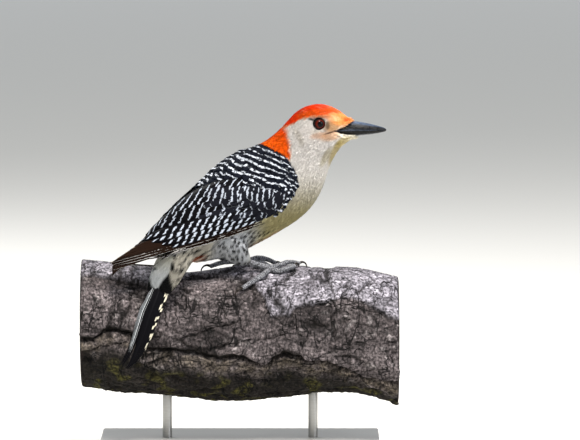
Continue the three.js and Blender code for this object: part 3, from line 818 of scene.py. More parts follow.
@dataclass(frozen=True)
class Bark(Finish):
    """Weathered hardwood bark: grey plates split by dark furrows, and sawn wood at the cut ends."""

    def paint(self, tree: Tree) -> dict[str, object]:
        """The painted plate colours with blocks about 10 mm, cracks between them and grit about 0.5 mm."""
        painted = add_node(tree, "Attribute", attribute_name="Coat")
        place = add_node(tree, "TexCoord")["Object"]
        inputs = {"Vector": place, "Scale": 1.0 / (7.0 * MM), "Detail": 3.0}
        wander = add_node(tree, "TexNoise", inputs=inputs)["Color"]
        swing = (7.0 * MM,) * 3
        warped = add_node(tree, "VectorMath", wander, swing, place, operation="MULTIPLY_ADD")[0]
        blocks = self.blocks(tree, warped, (9.0, 17.0, 17.0), 0.045)
        flakes = self.blocks(tree, warped, (2.6, 6.0, 6.0), 0.09)
        fibre = self.object_noise(tree, 0.8, (1.0, 2.6, 2.6), 4.0)
        grit = self.object_noise(tree, 1.7, (1.0, 1.0, 1.0), 8.0)
        fine = add_node(tree, "Math", fibre, 0.3, operation="MULTIPLY")[0]
        pitted = add_node(tree, "Math", grit, 0.7, fine, operation="MULTIPLY_ADD")[0]
        healed = add_node(tree, "MapRange", self.object_noise(tree, 9.0), 0.42, 0.56, 0.0, 1.0, **SMOOTH)[0]
        blocks = add_node(tree, "Math", blocks, healed, operation="MAXIMUM")[0]
        flaky = self.object_noise(tree, 2.2, (2.4, 1.0, 1.0), 8.0)
        long_splits = self.splits(tree, (1.0, 4.2, 4.2), 11.0, 0.011)
        cross_splits = self.splits(tree, (6.5, 1.0, 1.0), 7.0, 0.009)
        splits = add_node(tree, "Math", long_splits, cross_splits, operation="MINIMUM")[0]
        shade = add_node(tree, "MapRange", pitted, 0.39, 0.61, 0.35, 1.65, **SMOOTH)[0]
        # Cracks between blocks and the long splits are painted dark: dark inner bark with painted shade in
        # them.
        for source, low, high, from_shade, to_shade in (
            (blocks, 0.0, 1.0, 0.2, 1.0),
            (flakes, 0.0, 1.0, 0.75, 1.0),
            (flaky, 0.54, 0.64, 1.0, 1.9),
            (splits, 0.0, 1.0, 0.1, 1.0),
        ):
            share = add_node(tree, "MapRange", source, low, high, from_shade, to_shade, **SMOOTH)[0]
            shade = add_node(tree, "Math", shade, share, operation="MULTIPLY")[0]
        sawn = add_node(tree, "MapRange", fibre, 0.3, 0.7, 0.85, 1.1, **SMOOTH)[0]
        shade = add_node(tree, "Mix", painted["Alpha"], inputs={2: sawn, 3: shade}, data_type="FLOAT")[0]
        height = pitted
        for source, share in ((flakes, 0.25), (blocks, 0.9), (splits, 1.6)):
            height = add_node(tree, "Math", source, share, height, operation="MULTIPLY_ADD")[0]
        height = add_node(tree, "Math", height, painted["Alpha"], operation="MULTIPLY")[0]
        return {
            "Base Color": self.shaded(tree, painted["Color"], shade),
            "Roughness": 0.9,
            "Specular IOR Level": 0.2,
            "Normal": self.bump(tree, height, 0.6),
        }

    def splits(self, tree: Tree, stretch: Triple, size: float, width: float) -> Socket:
        """Long fine splits in the dry bark.

        Args:
            tree: The node tree.
            stretch: How much longer they are along each axis.
            size: How far apart they lie, in mm.
            width: Their width, in the noise's own measure.

        Returns:
            0 in a split, 1 off it.
        """
        noise = self.object_noise(tree, size, stretch, 2.5)
        offset = add_node(tree, "Math", noise, 0.5, operation="SUBTRACT")[0]
        away = add_node(tree, "Math", offset, operation="ABSOLUTE")[0]
        whole = add_node(tree, "MapRange", away, width * 0.4, width * 1.6, 0.0, 1.0, **SMOOTH)[0]
        patchy = self.object_noise(tree, 15.0)
        closed = add_node(tree, "MapRange", patchy, 0.42, 0.54, 0.0, 1.0, **SMOOTH)[0]
        return add_node(tree, "Math", whole, closed, operation="MAXIMUM")[0]

    def blocks(self, tree: Tree, place: Socket, size: Triple, crack: float) -> Socket:
        """1 on blocks of some mm, 0 in the cracks between them, where a crack is a share of a block."""
        scale = tuple(1.0 / (part * MM) for part in size)
        mapped = add_node(tree, "Mapping", inputs={"Vector": place, "Scale": scale})[0]
        inputs = {"Vector": mapped, "Scale": 1.0}
        cells = add_node(tree, "TexVoronoi", inputs=inputs, feature="DISTANCE_TO_EDGE")["Distance"]
        return add_node(tree, "MapRange", cells, 0.0, crack, 0.0, 1.0, **SMOOTH)[0]


@dataclass(frozen=True)
class PaintedBoard(Finish):
    """Sprayed satin paint over board, with the faint orange peel of a spray gun."""

    paint_colour: str = "#9C9B98"

    def paint(self, tree: Tree) -> dict[str, object]:
        """One paint colour, a little uneven, with a peel of about 1.2 mm."""
        cloud = add_node(tree, "MapRange", self.object_noise(tree, 30.0), 0.3, 0.7, 0.94, 1.03, **SMOOTH)[0]
        return {
            "Base Color": self.shaded(tree, colour(self.paint_colour), cloud),
            "Roughness": 0.38,
            "Normal": self.bump(tree, self.object_noise(tree, 1.2), 0.015),
        }


@dataclass(frozen=True)
class BrushedSteel(Finish):
    """Steel rod drawn and brushed round its length."""

    def paint(self, tree: Tree) -> dict[str, object]:
        """Fine rings left by brushing, about 0.2 mm apart."""
        rings = self.object_noise(tree, 0.2, (30.0, 30.0, 1.0))
        ends = {6: colour("#8E8E8C"), 7: colour("#B9B9B6")}
        return {
            "Base Color": add_node(tree, "Mix", rings, inputs=ends, **COLOURS)[2],
            "Metallic": 1.0,
            "Roughness": add_node(tree, "MapRange", rings, 0.3, 0.7, 0.28, 0.42, **SMOOTH)[0],
            "Normal": self.bump(tree, rings, 0.01),
        }


@dataclass(frozen=True)
class PaleFloor(Finish):
    """A matte pale studio floor that turns white some metres off, where it meets the air."""

    def paint(self, tree: Tree) -> dict[str, object]:
        """Pale grey near the stand, white from 12 m on."""
        place = add_node(tree, "TexCoord")["Object"]
        reach = add_node(tree, "VectorMath", place, operation="LENGTH")["Value"]
        far = add_node(tree, "MapRange", reach, 2.0, 12.0, 0.0, 1.0, **SMOOTH)[0]
        ends = {6: colour("#E2E1DD"), 7: colour("#FFFFFF")}
        return {
            "Base Color": add_node(tree, "Mix", far, inputs=ends, **COLOURS)[2],
            "Roughness": 0.9,
            "Specular IOR Level": 0.1,
        }


SOFT_COAT = Plumage("soft_feather_keratin")
STIFF_VANE = Plumage("stiff_feather_keratin", roughness=0.5, sheen=0.0, lustre=0.025, waver=0.6)
BACK_VANE = Plumage("loose_back_feather_keratin", roughness=0.6, sheen=0.0, lustre=0.025, breaks=0.43)
TAIL_VANE = Plumage("worn_tail_feather_keratin", roughness=0.5, sheen=0.0, lustre=0.03, waver=0.2)
BARE_SKIN = BareSkin("skin_and_down")
BILL_HORN = Horn("bill_keratin", light="#5A687F", wear_painted=True)
CLAW_HORN = Horn("claw_keratin", dark="#15110F", light="#5A4F48", roughness=0.3, streak=0.35)
EYE_GLASS = EyeGlass("glass_eye")
FOOT_SKIN = ScaledSkin("scaled_foot_skin")
BARK = Bark("weathered_bark")
BOARD_PAINT = PaintedBoard("satin_painted_board")
ROD_STEEL = BrushedSteel("brushed_rod_steel")
STUDIO_FLOOR = PaleFloor("pale_matte_floor")


# ---------------------------------------------------------------- markings


@dataclass(frozen=True)
class Patch:
    """A soft-edged oval of colour in side view, in mm, tilted in degrees."""

    code: str
    s: float
    z: float
    half_s: float
    half_z: float
    strength: float = 1.0
    tilt: float = 0.0
    softness: float = 0.4

    def share(self, places: Array) -> Array:
        """How much of the patch each place takes."""
        turn = math.radians(self.tilt)
        right = places[:, 0] - self.s
        above = places[:, 2] - self.z
        level = right * math.cos(turn) + above * math.sin(turn)
        upright = above * math.cos(turn) - right * math.sin(turn)
        distance = np.hypot(level / self.half_s, upright / self.half_z)
        return self.strength * (1 - ease(distance, 1 - self.softness, 1 + self.softness))


@dataclass(frozen=True)
class Markings:
    """The colours of the coat, worked out from a place on the bird."""

    cap_line: tuple[Pair, ...] = (
        (17.0, 207.2), (20.0, 208.6), (23.4, 210.8), (28.6, 213.2), (36.3, 215.3), (44.5, 215.8),
        (50.0, 217.0), (56.0, 216.3), (61.0, 213.8),
    )
    nape_front: float = 18.2
    barred_front: tuple[Pair, ...] = (
        (148.0, -5.4), (151.4, 1.7), (156.3, 8.1), (160.1, 12.4), (165.0, 17.6), (169.9, 22.1),
        (176.2, 24.7), (181.2, 24.0), (185.5, 21.7), (189.9, 18.0), (193.6, 13.3), (195.4, 8.8),
        (198.2, 6.2), (201.0, 2.5),
    )
    barred_below: tuple[Pair, ...] = (
        (-104.0, 118.0), (-89.0, 120.5), (-76.9, 124.0), (-63.1, 128.6), (-51.1, 132.0), (-38.4, 136.5),
        (-26.0, 140.2), (-13.8, 144.0), (-5.4, 147.6), (1.7, 151.4),
    )
    face: tuple[Patch, ...] = (
        Patch("#EAE6E3", 33, 199, 14, 14, 0.6),
        Patch("#F2EEEA", 29, 207, 9, 6, 0.9),
        Patch("#B4AE9F", 26.5, 202, 2.0, 6.0, 0.5, 25),
        Patch("#EFC6A0", 47.5, 203.2, 7.0, 3.0, 0.85, 8),
        Patch("#EFBE92", 39.5, 203.6, 5.0, 2.0, 0.5, 10),
        Patch("#BCA85E", 56.5, 199.8, 6.5, 2.6, 0.75, 30),
        Patch("#B5A25A", 50.5, 192.5, 2.6, 8.5, 0.75, -24),
        Patch("#A99C5C", 44.5, 190.0, 2.2, 6.5, 0.45, -30),
        Patch("#F0E8D4", 56.5, 203.2, 5.0, 1.6, 0.8, 4),
        Patch("#D9AE80", 49.0, 209.5, 6.0, 3.6, 0.95, 18),
        Patch("#F5A860", 54.0, 213.6, 10.0, 4.2, 1.0, -14),
        Patch("#FBD0A0", 49.5, 214.2, 4.0, 1.8, 0.7, -10),
        Patch("#E8541C", 57.8, 213.2, 2.0, 1.4, 0.8, -20),
        Patch("#6E5E50", 45.3, 209.8, 1.2, 2.6, 0.75),
        Patch("#E8E0D4", 38.0, 206.4, 4.0, 1.4, 0.6, 12),
        Patch("#2A211C", 35.4, 213.6, 2.2, 0.8, 0.9, -14),
        Patch("#C8703A", 38.5, 215.6, 8.0, 1.4, 0.8, -3),
        Patch("#3A3430", 52.5, 206.6, 6.5, 0.5, 0.75, 10),
        Patch("#6A4632", 47.5, 205.4, 4.4, 0.45, 0.8, 14),
    )
    vent: Patch = Patch("#C4603A", -41, 126.2, 4.6, 2.6, 0.75, 20)
    flush: Patch = Patch("#C8866A", 2, 139, 14, 5, 0.35, 32)
    barred_low: float = 117.0
    tip_rear: float = -76.0
    tip_upper_rear: float = -68.0
    tip_upper: float = 121.0

    def barred(self, places: Array) -> Array:
        """True where the barred black feathers of back and wing grow."""
        s, _, z = places.T
        front = np.interp(z, *zip(*self.barred_front), right=-20.0)
        below = np.interp(s, *zip(*self.barred_below))
        return (s < front) & (z > below) & (z > self.barred_low)

    def wing_tip(self, places: Array) -> Array:
        """True on the ends of the folded wings, behind the coverts of the tail."""
        s, _, z = places.T
        return (s < self.tip_rear) | ((s < self.tip_upper_rear) & (z > self.tip_upper))

    def body(self, places: Array) -> Array:
        """Breast, belly, flanks, vent and tail coverts."""
        s, out, z = places.T
        # The lower body is painted darker and olive towards the bottom: partly the belly's own buff, partly
        # painted shade with a painted green reflection from below.
        belly = ease(-z, -184, -150)
        shade = blend(linear("#EDEAE6"), linear("#A59D72"), belly)
        rear = ease(-s, -4, 14)
        shade = blend(shade, linear("#BFC3C8"), rear * ease(-z, -160, -140))
        shade = blend(shade, self.rump(places), ease(-s, 28, 36) * ease(-z, -150, -140))
        broken = ease(soft_noise(places, 1.7, 51), -0.6, 0.3)
        shade = blend(shade, linear(self.vent.code), self.vent.share(places) * broken)
        low = self.flush.share(places) * ease(-np.abs(out), -11, -4)
        return blend(shade, linear(self.flush.code), low)

    def rump(self, places: Array) -> Array:
        """A pale drape on the left of the tail's root, chevroned white on its right, black between."""
        x, _, z = BIRD.to_world(places).T / MM
        drape = blend(linear("#A9A89B"), linear("#C6CBCE"), ease(-z, -131, -116))
        left = np.interp(z, (109.0, 112.0, 115.0, 118.0), (-52.6, -54.8, -56.0, -60.0))
        heights = (109.0, 110.6, 115.0, 119.7, 126.0, 134.0)
        middle = np.interp(z, heights, (-51.9, -50.7, -47.9, -43.8, -42.6, -40.0))
        rear = np.interp(z, (108.0, 110.6, 115.0, 119.7, 121.5), (-40.0, -41.5, -42.8, -43.6, -50.0))
        across = x - middle
        white = linear("#BDB9AD")
        turn = np.sin((z - 0.9 * np.abs(across - 6.0)) * TURN / 6.2 + 2.2 * soft_noise(places, 3.2, 41))
        whole = ease(soft_noise(places, 2.2, 43), -0.5, -0.2)
        marked = ease(turn, 0.15, 0.35) * ease(-z, -140, -134) * whole
        right = blend(np.broadcast_to(white, drape.shape), linear("#060608"), marked)
        right = blend(right, linear("#08080A"), ease(rear - x, -0.6, 0.6))
        drape = blend(drape, linear("#08080A"), ease(left - x, -0.5, 0.5))
        return blend(drape, right, ease(across, -0.6, 0.6))

    def red(self, places: Array) -> Array:
        """How much of the red cap and nape each place takes."""
        s, _, z = places.T
        ragged = soft_noise(places, 1.3, 4) * 0.8
        line = np.interp(s, *zip(*self.cap_line))
        cap = ease(z + ragged - line, -0.7, 1.4) * ease(s, 15, 19)
        nape = ease(self.nape_front - s + ragged, -1.4, 1.2) * ease(z, 187, 191)
        return np.maximum(cap, nape)

    def colours(self, places: Array) -> Array:
        """The ground colour of the coat at each place, in linear light."""
        s, _, z = places.T
        shade = self.body(places)
        for patch in self.face:
            shade = blend(shade, linear(patch.code), patch.share(places))
        line = np.interp(s, *zip(*self.cap_line))
        pink = ease(s, 36, 50) * (0.6 + 0.4 * soft_noise(places, 2.4, 8))
        crown = blend(linear("#F63C06"), linear("#F8644C"), np.clip(pink, 0, 1))
        orange = ease(-z, -212, -197)
        crown = blend(crown, linear("#FF6C10"), orange * 0.95)
        brow = ease(s, 24, 30) * ease(-np.abs(z - line - 2.0), -3.4, -1.0) * 0.45
        crown = blend(crown, linear("#E0781F"), brow)
        flecks = soft_noise(places, 1.1, 9) + 0.5 * soft_noise(places, 3.0, 10)
        pale = ease(flecks, 0.45, 0.95) * ease(s, 22, 34)
        crown = blend(crown, linear("#FFA078"), pale * 0.6)
        red = self.red(places)
        shade = blend(shade, linear("#F2A468"), ease(red, 0.0, 0.5) * 0.9)
        return blend(shade, crown, ease(red, 0.35, 1.0))


MARKINGS = Markings()


# ---------------------------------------------------------------- feathers


@dataclass(frozen=True)
class Template:
    """One feather in its own frame: along 0 to 1, across -1 to 1, height in mm."""

    places: Array
    edge: Array
    strand: Array
    faces: tuple[Array, ...]

    @staticmethod
    def tuft(barbs: int, cover: float, rng: Chance) -> "Template":
        """A tuft of loose barbs that fan out from one root.

        Args:
            barbs: How many barbs it has.
            cover: The share of the tuft's width that its barbs fill.
            rng: The seeded source of chance.

        Returns:
            The template, each barb a closed strand of three sides that tapers to a point.
        """
        thickness = 0.16
        places, strand, quads, triangles = [], [], [], []
        for barb in range(barbs):
            share = (barb + 0.5) / barbs * 2 - 1
            reach = 1 - 0.25 * share**2 - 0.12 * rng.random()
            start = len(places)
            for along, half in ((0.0, 0.7), (0.55, 0.95)):
                middle = share * (0.35 + 0.5 * along)
                half *= cover / barbs
                places.append((along * reach, middle - half, 0.0))
                places.append((along * reach, middle + half, 0.0))
                places.append((along * reach, middle, thickness))
            places.append((reach, share * 0.95 + 0.1 * (rng.random() - 0.5), 0.02))
            rise = 0.12 * rng.random()
            places[start:] = [(a, c, h + rise * a) for a, c, h in places[start:]]
            strand += [barb] * 7
            for corner in range(3):
                following = (corner + 1) % 3
                quads.append([start + n for n in (corner, following, following + 3, corner + 3)])
                triangles.append([start + n for n in (corner + 3, following + 3, 6)])
            triangles.append([start, start + 2, start + 1])
        places = np.array(places)
        return Template(places, places[:, 1], np.array(strand), (np.array(quads), np.array(triangles)))

    @staticmethod
    def vane(tip: TipShape, stations: int = 11, thickness: float = 0.22) -> "Template":
        """A closed vane with a raised shaft.

        Args:
            tip: How the vane ends.
            stations: How many cuts it has along its length.
            thickness: Height of the shaft over the edges, in mm.

        Returns:
            The template.
        """
        along = np.sin(np.linspace(0, 1, stations) * math.pi / 2) ** 1.15
        base = np.minimum(1.0, 0.45 + 1.6 * along)
        if tip is TipShape.ROUND:
            width = base * np.sqrt(np.clip(1 - (np.maximum(along - 0.6, 0) / 0.405) ** 2, 0, 1))
        else:
            width = base * np.clip(1 - along**2.4, 0.05, 1) ** 0.8
        ring = ((-1, 0.0), (-0.5, 0.6), (0, 1.0), (0.5, 0.6), (1, 0.0), (0, -0.5))
        places = [(a, w * e, h * thickness * (1 - 0.6 * a)) for a, w in zip(along, width) for e, h in ring]
        edge = np.tile([e for e, _ in ring], stations).astype(float)
        last = (stations - 1) * len(ring)
        root_cap = np.array([[0, 1, 2, 5], [5, 2, 3, 4]])
        tip_cap = last + np.array([[5, 2, 1, 0], [4, 3, 2, 5]])
        quads = np.concatenate((tube_faces(stations, len(ring)), root_cap, tip_cap))
        strand = np.zeros(len(places), int)
        return Template(np.array(places), edge, strand, (quads,))


@dataclass
class Midlines:
    """The middle lines of many feathers laid on a surface, with the surface's normals."""

    centres: Array
    normals: Array

    @staticmethod
    def traced(
        surface: Surface, roots: Array, directions: Array, lengths: Array, stations: int
    ) -> "Midlines":
        """Runs each feather's middle line over the surface from its root.

        Args:
            surface: The surface that the feathers lie on.
            roots: Where they start.
            directions: The way they point.
            lengths: Their lengths in mm.
            stations: How many places each line gets.

        Returns:
            The middle lines.
        """
        place, normal = surface.nearest(roots)
        centres, normals = [place], [normal]
        way = along_surface(directions, normal)
        step = (lengths / (stations - 1))[:, None]
        for _ in range(stations - 1):
            place, normal = surface.nearest(place + way * step)
            way = along_surface(way, normal)
            centres.append(place)
            normals.append(normal)
        return Midlines(np.stack(centres, axis=1), np.stack(normals, axis=1))

    def at(self, shares: Array) -> tuple[Array, Array, Array]:
        """Centres, normals and directions of every feather at some shares of its length."""
        last = self.centres.shape[1] - 1
        spots = np.clip(shares, 0, 1) * last
        low = np.minimum(spots.astype(int), last - 1)
        share = (spots - low)[None, :, None]
        tangents = unit(np.gradient(self.centres, axis=1))
        sources = (self.centres, self.normals, tangents)
        centre, normal, tangent = (between(row[:, low], row[:, low + 1], share) for row in sources)
        return centre, unit(normal), unit(tangent)

    def spread(
        self,
        template: Template,
        half_widths: Array,
        root_lift: Array,
        tip_lift: Array,
        camber: float = 0.0,
        hug: Surface | None = None,
    ) -> Array:
        """Lays a template along every middle line.

        Args:
            template: The feather.
            half_widths: Half of each feather's width, in mm.
            root_lift: Height of each root over the surface, in mm.
            tip_lift: Height of each tip over the surface, in mm.
            camber: How far the edges curl down, as a share of the half width.
            hug: A surface that the whole vane is laid on, where its edges follow it too.

        Returns:
            The corners of every feather, feather by feather.
        """
        along, across, height = template.places.T
        centre, normal, tangent = self.at(along)
        side = np.cross(normal, tangent)
        place = centre + side * (across * half_widths[:, None])[..., None]
        if hug is not None:
            flat, found = hug.nearest(place.reshape(-1, 3))
            place = flat.reshape(place.shape)
            normal = unit(found.reshape(place.shape) * 0.6 + normal * 0.4)
        rise = root_lift[:, None] + (tip_lift - root_lift)[:, None] * along[None, :] ** 0.8
        rise = rise + height[None, :] - camber * (template.edge**2)[None, :] * half_widths[:, None]
        return place + normal * rise[..., None]


def repeated_faces(template: Template, count: int) -> list[Array]:
    """The faces of a template copied `count` times."""
    starts = (np.arange(count) * len(template.places))[:, None, None]
    return [(part[None] + starts).reshape(-1, part.shape[1]) for part in template.faces]


@dataclass(frozen=True)
class Paint:
    """How a set of vanes is marked, in mm and shares of the half width."""

    ground: str = "#141519"
    mark: str = "#E4E4E6"
    duty: float = 0.0
    reach: float = 2.0
    fringe: float = 0.0
    spacing: float = 4.5
    slant: float = 0.0
    stripe: float | None = None


def own_cells(count: int, template: Template, columns: int) -> Array:
    """Bake map with a cell for each feather, so that its bars keep their shape.

    Args:
        count: How many feathers.
        template: The feather.
        columns: How many cells stand side by side.

    Returns:
        A map place for each corner of each feather.
    """
    rows = math.ceil(count / columns)
    number = np.arange(count)
    cell = np.stack((number % columns, number // columns), axis=1).astype(float)
    inset = 0.08
    inner = np.stack(((template.edge + 1) / 2, template.places[:, 0]), axis=1) * (1 - 2 * inset) + inset
    size = np.array([1.0 / columns, 1.0 / rows])
    return ((cell[:, None, :] + inner[None]) * size).reshape(-1, 2)


def root_patches(roots: Array, template: Template) -> Array:
    """Bake map with a small patch for each tuft, at its root on the body unrolled round its spine."""
    patch = 0.003
    share, angle, _ = SPINE.locate(roots)
    home = np.stack((angle / TURN + 0.5, share), axis=1) * (1 - 2 * patch) + patch
    inner = np.stack((template.places[:, 1] / 2, template.places[:, 0] - 0.5), axis=1) * patch
    return (home[:, None, :] + inner[None]).reshape(-1, 2)


def tuft_shape(places: Array, template: Template, roots: Array, tint: Array, rng: Chance) -> Shape:
    """A mesh of soft tufts.

    Args:
        places: Corners of all tufts, in the bird's frame.
        template: The tuft.
        roots: Where each starts.
        tint: Colour of each corner of each tuft.
        rng: The seeded source of chance.

    Returns:
        The mesh with its colours and maps.
    """
    count = len(roots)
    blank = np.zeros((len(places), 4))
    barb_stretch = 3
    across, along = (np.tile(template.places[:, axis], count) for axis in (1, 0))
    vane = np.stack((across, along * barb_stretch), axis=1)
    vane += np.repeat(rng.random((count, 2)) * 7, len(template.places), axis=0)
    return Shape(
        BIRD.to_world(places),
        repeated_faces(template, count),
        {"Coat": tint.reshape(-1, 3).clip(0, 1), "Mark": blank[:, :3], "Bars": blank},
        {"Vane": vane, "OFBake": root_patches(roots, template)},
    )


def vane_shape(
    points: Array, template: Template, ground: Array, mark: Array, bars: tuple[object, ...]
) -> Shape:
    """A mesh of vanes, without its bake map.

    Args:
        points: Corners of all vanes, in metres.
        template: The vane.
        ground: Colour of each corner off the marks.
        mark: Colour of each corner on the marks.
        bars: Each corner's bar number, its marked share, how far out bars reach, and the pale fringe.

    Returns:
        The mesh with its colours and the map across and along its vanes.
    """
    count = len(points) // len(template.places)
    vane = np.stack((np.tile(template.edge, count), np.tile(template.places[:, 0], count)), axis=1)
    painted = {"Coat": ground, "Mark": mark, "Bars": np.stack(np.broadcast_arrays(*bars), axis=1)}
    return Shape(points, repeated_faces(template, count), painted, {"Vane": vane})


def lie_of_coat(places: Array, normals: Array) -> Array:
    """The way the feathers point: from bill to tail, and down over the folded wings and thighs."""
    _, angle, ahead = SPINE.locate(places)
    way = -ahead
    drape = np.array([-0.375, 0.0, -0.927])
    on_wing = MARKINGS.barred(places)
    turned = ease(np.abs(angle), math.radians(8), math.radians(50)) * on_wing
    way = blend(way, np.broadcast_to(drape, way.shape), turned)
    leg = (places[:, 2] < 140) & (places[:, 0] > -34) & (places[:, 0] < 12) & ~on_wing
    down = np.array([0.25, 0.0, -0.95])
    way = blend(way, np.broadcast_to(down, way.shape), leg * ease(-places[:, 2], -141, -133) * 0.8)
    return along_surface(way, normals)


def combed(outline: Surface, roots: Array, turn: float, rng: Chance) -> Array:
    """The way each feather points: with the lie of the coat, swung aside by about `turn` degrees."""
    _, normals = outline.nearest(roots)
    way = lie_of_coat(roots, normals)
    swing = np.radians(turn) * rng.normal(size=len(roots))
    return way * np.cos(swing)[:, None] + np.cross(normals, way) * np.sin(swing)[:, None]


# ---------------------------------------------------------------- bill


@dataclass
class Bill:
    """The chisel bill in two halves, each lofted through cuts of (s, culmen, gape, keel, half width)."""

    cuts: tuple[tuple[float, float, float, float, float], ...] = (
        (47.0, 208.8, 205.9, 203.4, 8.4), (52.5, 210.0, 205.9, 203.0, 7.6),
        (57.5, 211.6, 205.8, 202.4, 6.5), (63.0, 211.8, 205.8, 202.4, 5.0),
        (71.6, 210.4, 205.7, 203.1, 3.6), (77.6, 208.9, 205.8, 203.9, 2.6),
        (81.6, 207.7, 205.8, 204.7, 1.9), (83.0, 207.0, 205.9, 205.1, 1.5),
        (83.5, 206.6, 206.0, 205.4, 1.0),
    )
    rings: int = 80
    sides: int = 32
    gape_gap: float = 0.07
    groove_depth: float = 0.07
    fullness: Pair = (0.9, 0.8)
    crown_power: float = 1.15
    side_power: float = 0.9

    def half_at(self, s: Array, z: Array) -> Array:
        """Half of the bill's width at places along it and heights on it, in mm."""
        at, culmen, gape, keel, half = np.array(self.cuts).T
        edge = np.interp(s, at, gape)
        crest = np.where(z > edge, np.interp(s, at, culmen), np.interp(s, at, keel))
        turned = np.clip((z - edge) / (crest - edge), 0, 1) ** (1 / self.crown_power)
        full = np.where(z > edge, *self.fullness)
        return np.interp(s, at, half) * full**turned * (1 - turned**2) ** (self.side_power / 2)

    def build(self) -> None:
        """Makes both halves."""
        for name, upper in (("upper", True), ("lower", False)):
            nodes = (f"bill_{name}",)
            add_piece(f"bill_{name}_horn", self.half(upper), BILL_HORN, nodes, upper)

    def half(self, upper: bool) -> Shape:
        """One half of the bill as a closed loft, with a ridge and a long groove below it."""
        line = through(self.cuts, self.rings)
        angles = np.linspace(0, math.pi, self.sides)
        rings = []
        for s, culmen, gape, keel, half in line:
            edge = gape + (self.gape_gap if upper else -self.gape_gap)
            crest = culmen if upper else keel
            full = self.fullness[0 if upper else 1] ** np.sin(angles)
            out = half * full * np.sign(np.cos(angles)) * np.abs(np.cos(angles)) ** self.side_power
            groove = np.exp(-(((np.sin(angles) - 0.62) / 0.1) ** 2)) * ease(np.array(-s), -76, -58)
            out = out * (1 - self.groove_depth * groove * upper)
            rise = (crest - edge) * np.sin(angles) ** self.crown_power
            rings.append(np.stack((np.full(self.sides, s), out, edge + rise), axis=1))
        places = np.concatenate(rings)
        turn = np.tile(np.sin(angles), self.rings)
        # Blue grey painted mostly along the top of the upper ridge: a painted sheen there, with grey flaking
        # of the keratin at the edges and the keel.
        sheen_and_wear = ease(turn, 0.6, 0.95) * (0.9 if upper else 0.25) + 0.3 * (1 - ease(turn, 0.0, 0.25)) * upper
        sheen_and_wear *= 1 - 0.6 * ease(places[:, 0], 66.0, 84.0)
        first = np.arange(self.sides)[None]
        last = first[:, ::-1] + (self.rings - 1) * self.sides
        painted = {"Wear": np.repeat(sheen_and_wear[:, None], 3, axis=1)}
        return Shape(BIRD.to_world(places), [tube_faces(self.rings, self.sides), first, last], painted)


@dataclass(frozen=True)
class Gape:
    """The wedge on each side where bare horn shows between the feathers of face and chin, in mm (s, z)."""

    upper: tuple[Pair, ...] = (
        (48.8, 206.1), (52.0, 206.9), (54.5, 208.3), (57.6, 210.2), (60.0, 211.6), (62.5, 213.0),
    )
    lower: tuple[Pair, ...] = (
        (48.8, 205.9), (51.5, 205.2), (53.5, 204.0), (56.0, 202.9), (58.5, 202.3), (61.5, 201.8),
        (67.0, 202.4),
    )
    softness: float = 0.35

    def share(self, places: Array) -> Array:
        """How far each place is inside the wedge, from 0 to 1."""
        s, _, z = places.T
        below_top = np.interp(s, *zip(*self.upper)) - z
        above_low = z - np.interp(s, *zip(*self.lower))
        inside = np.minimum(below_top, above_low)
        return ease(inside, -self.softness, self.softness) * ease(s, 48.6, 49.6)


BILL = Bill()
GAPE = Gape()


# ---------------------------------------------------------------- the body


@dataclass(frozen=True)
class Bulge:
    """A soft hollow or swelling of the head, the same on both sides, in mm."""

    s: float
    z: float
    size: float
    rise: float


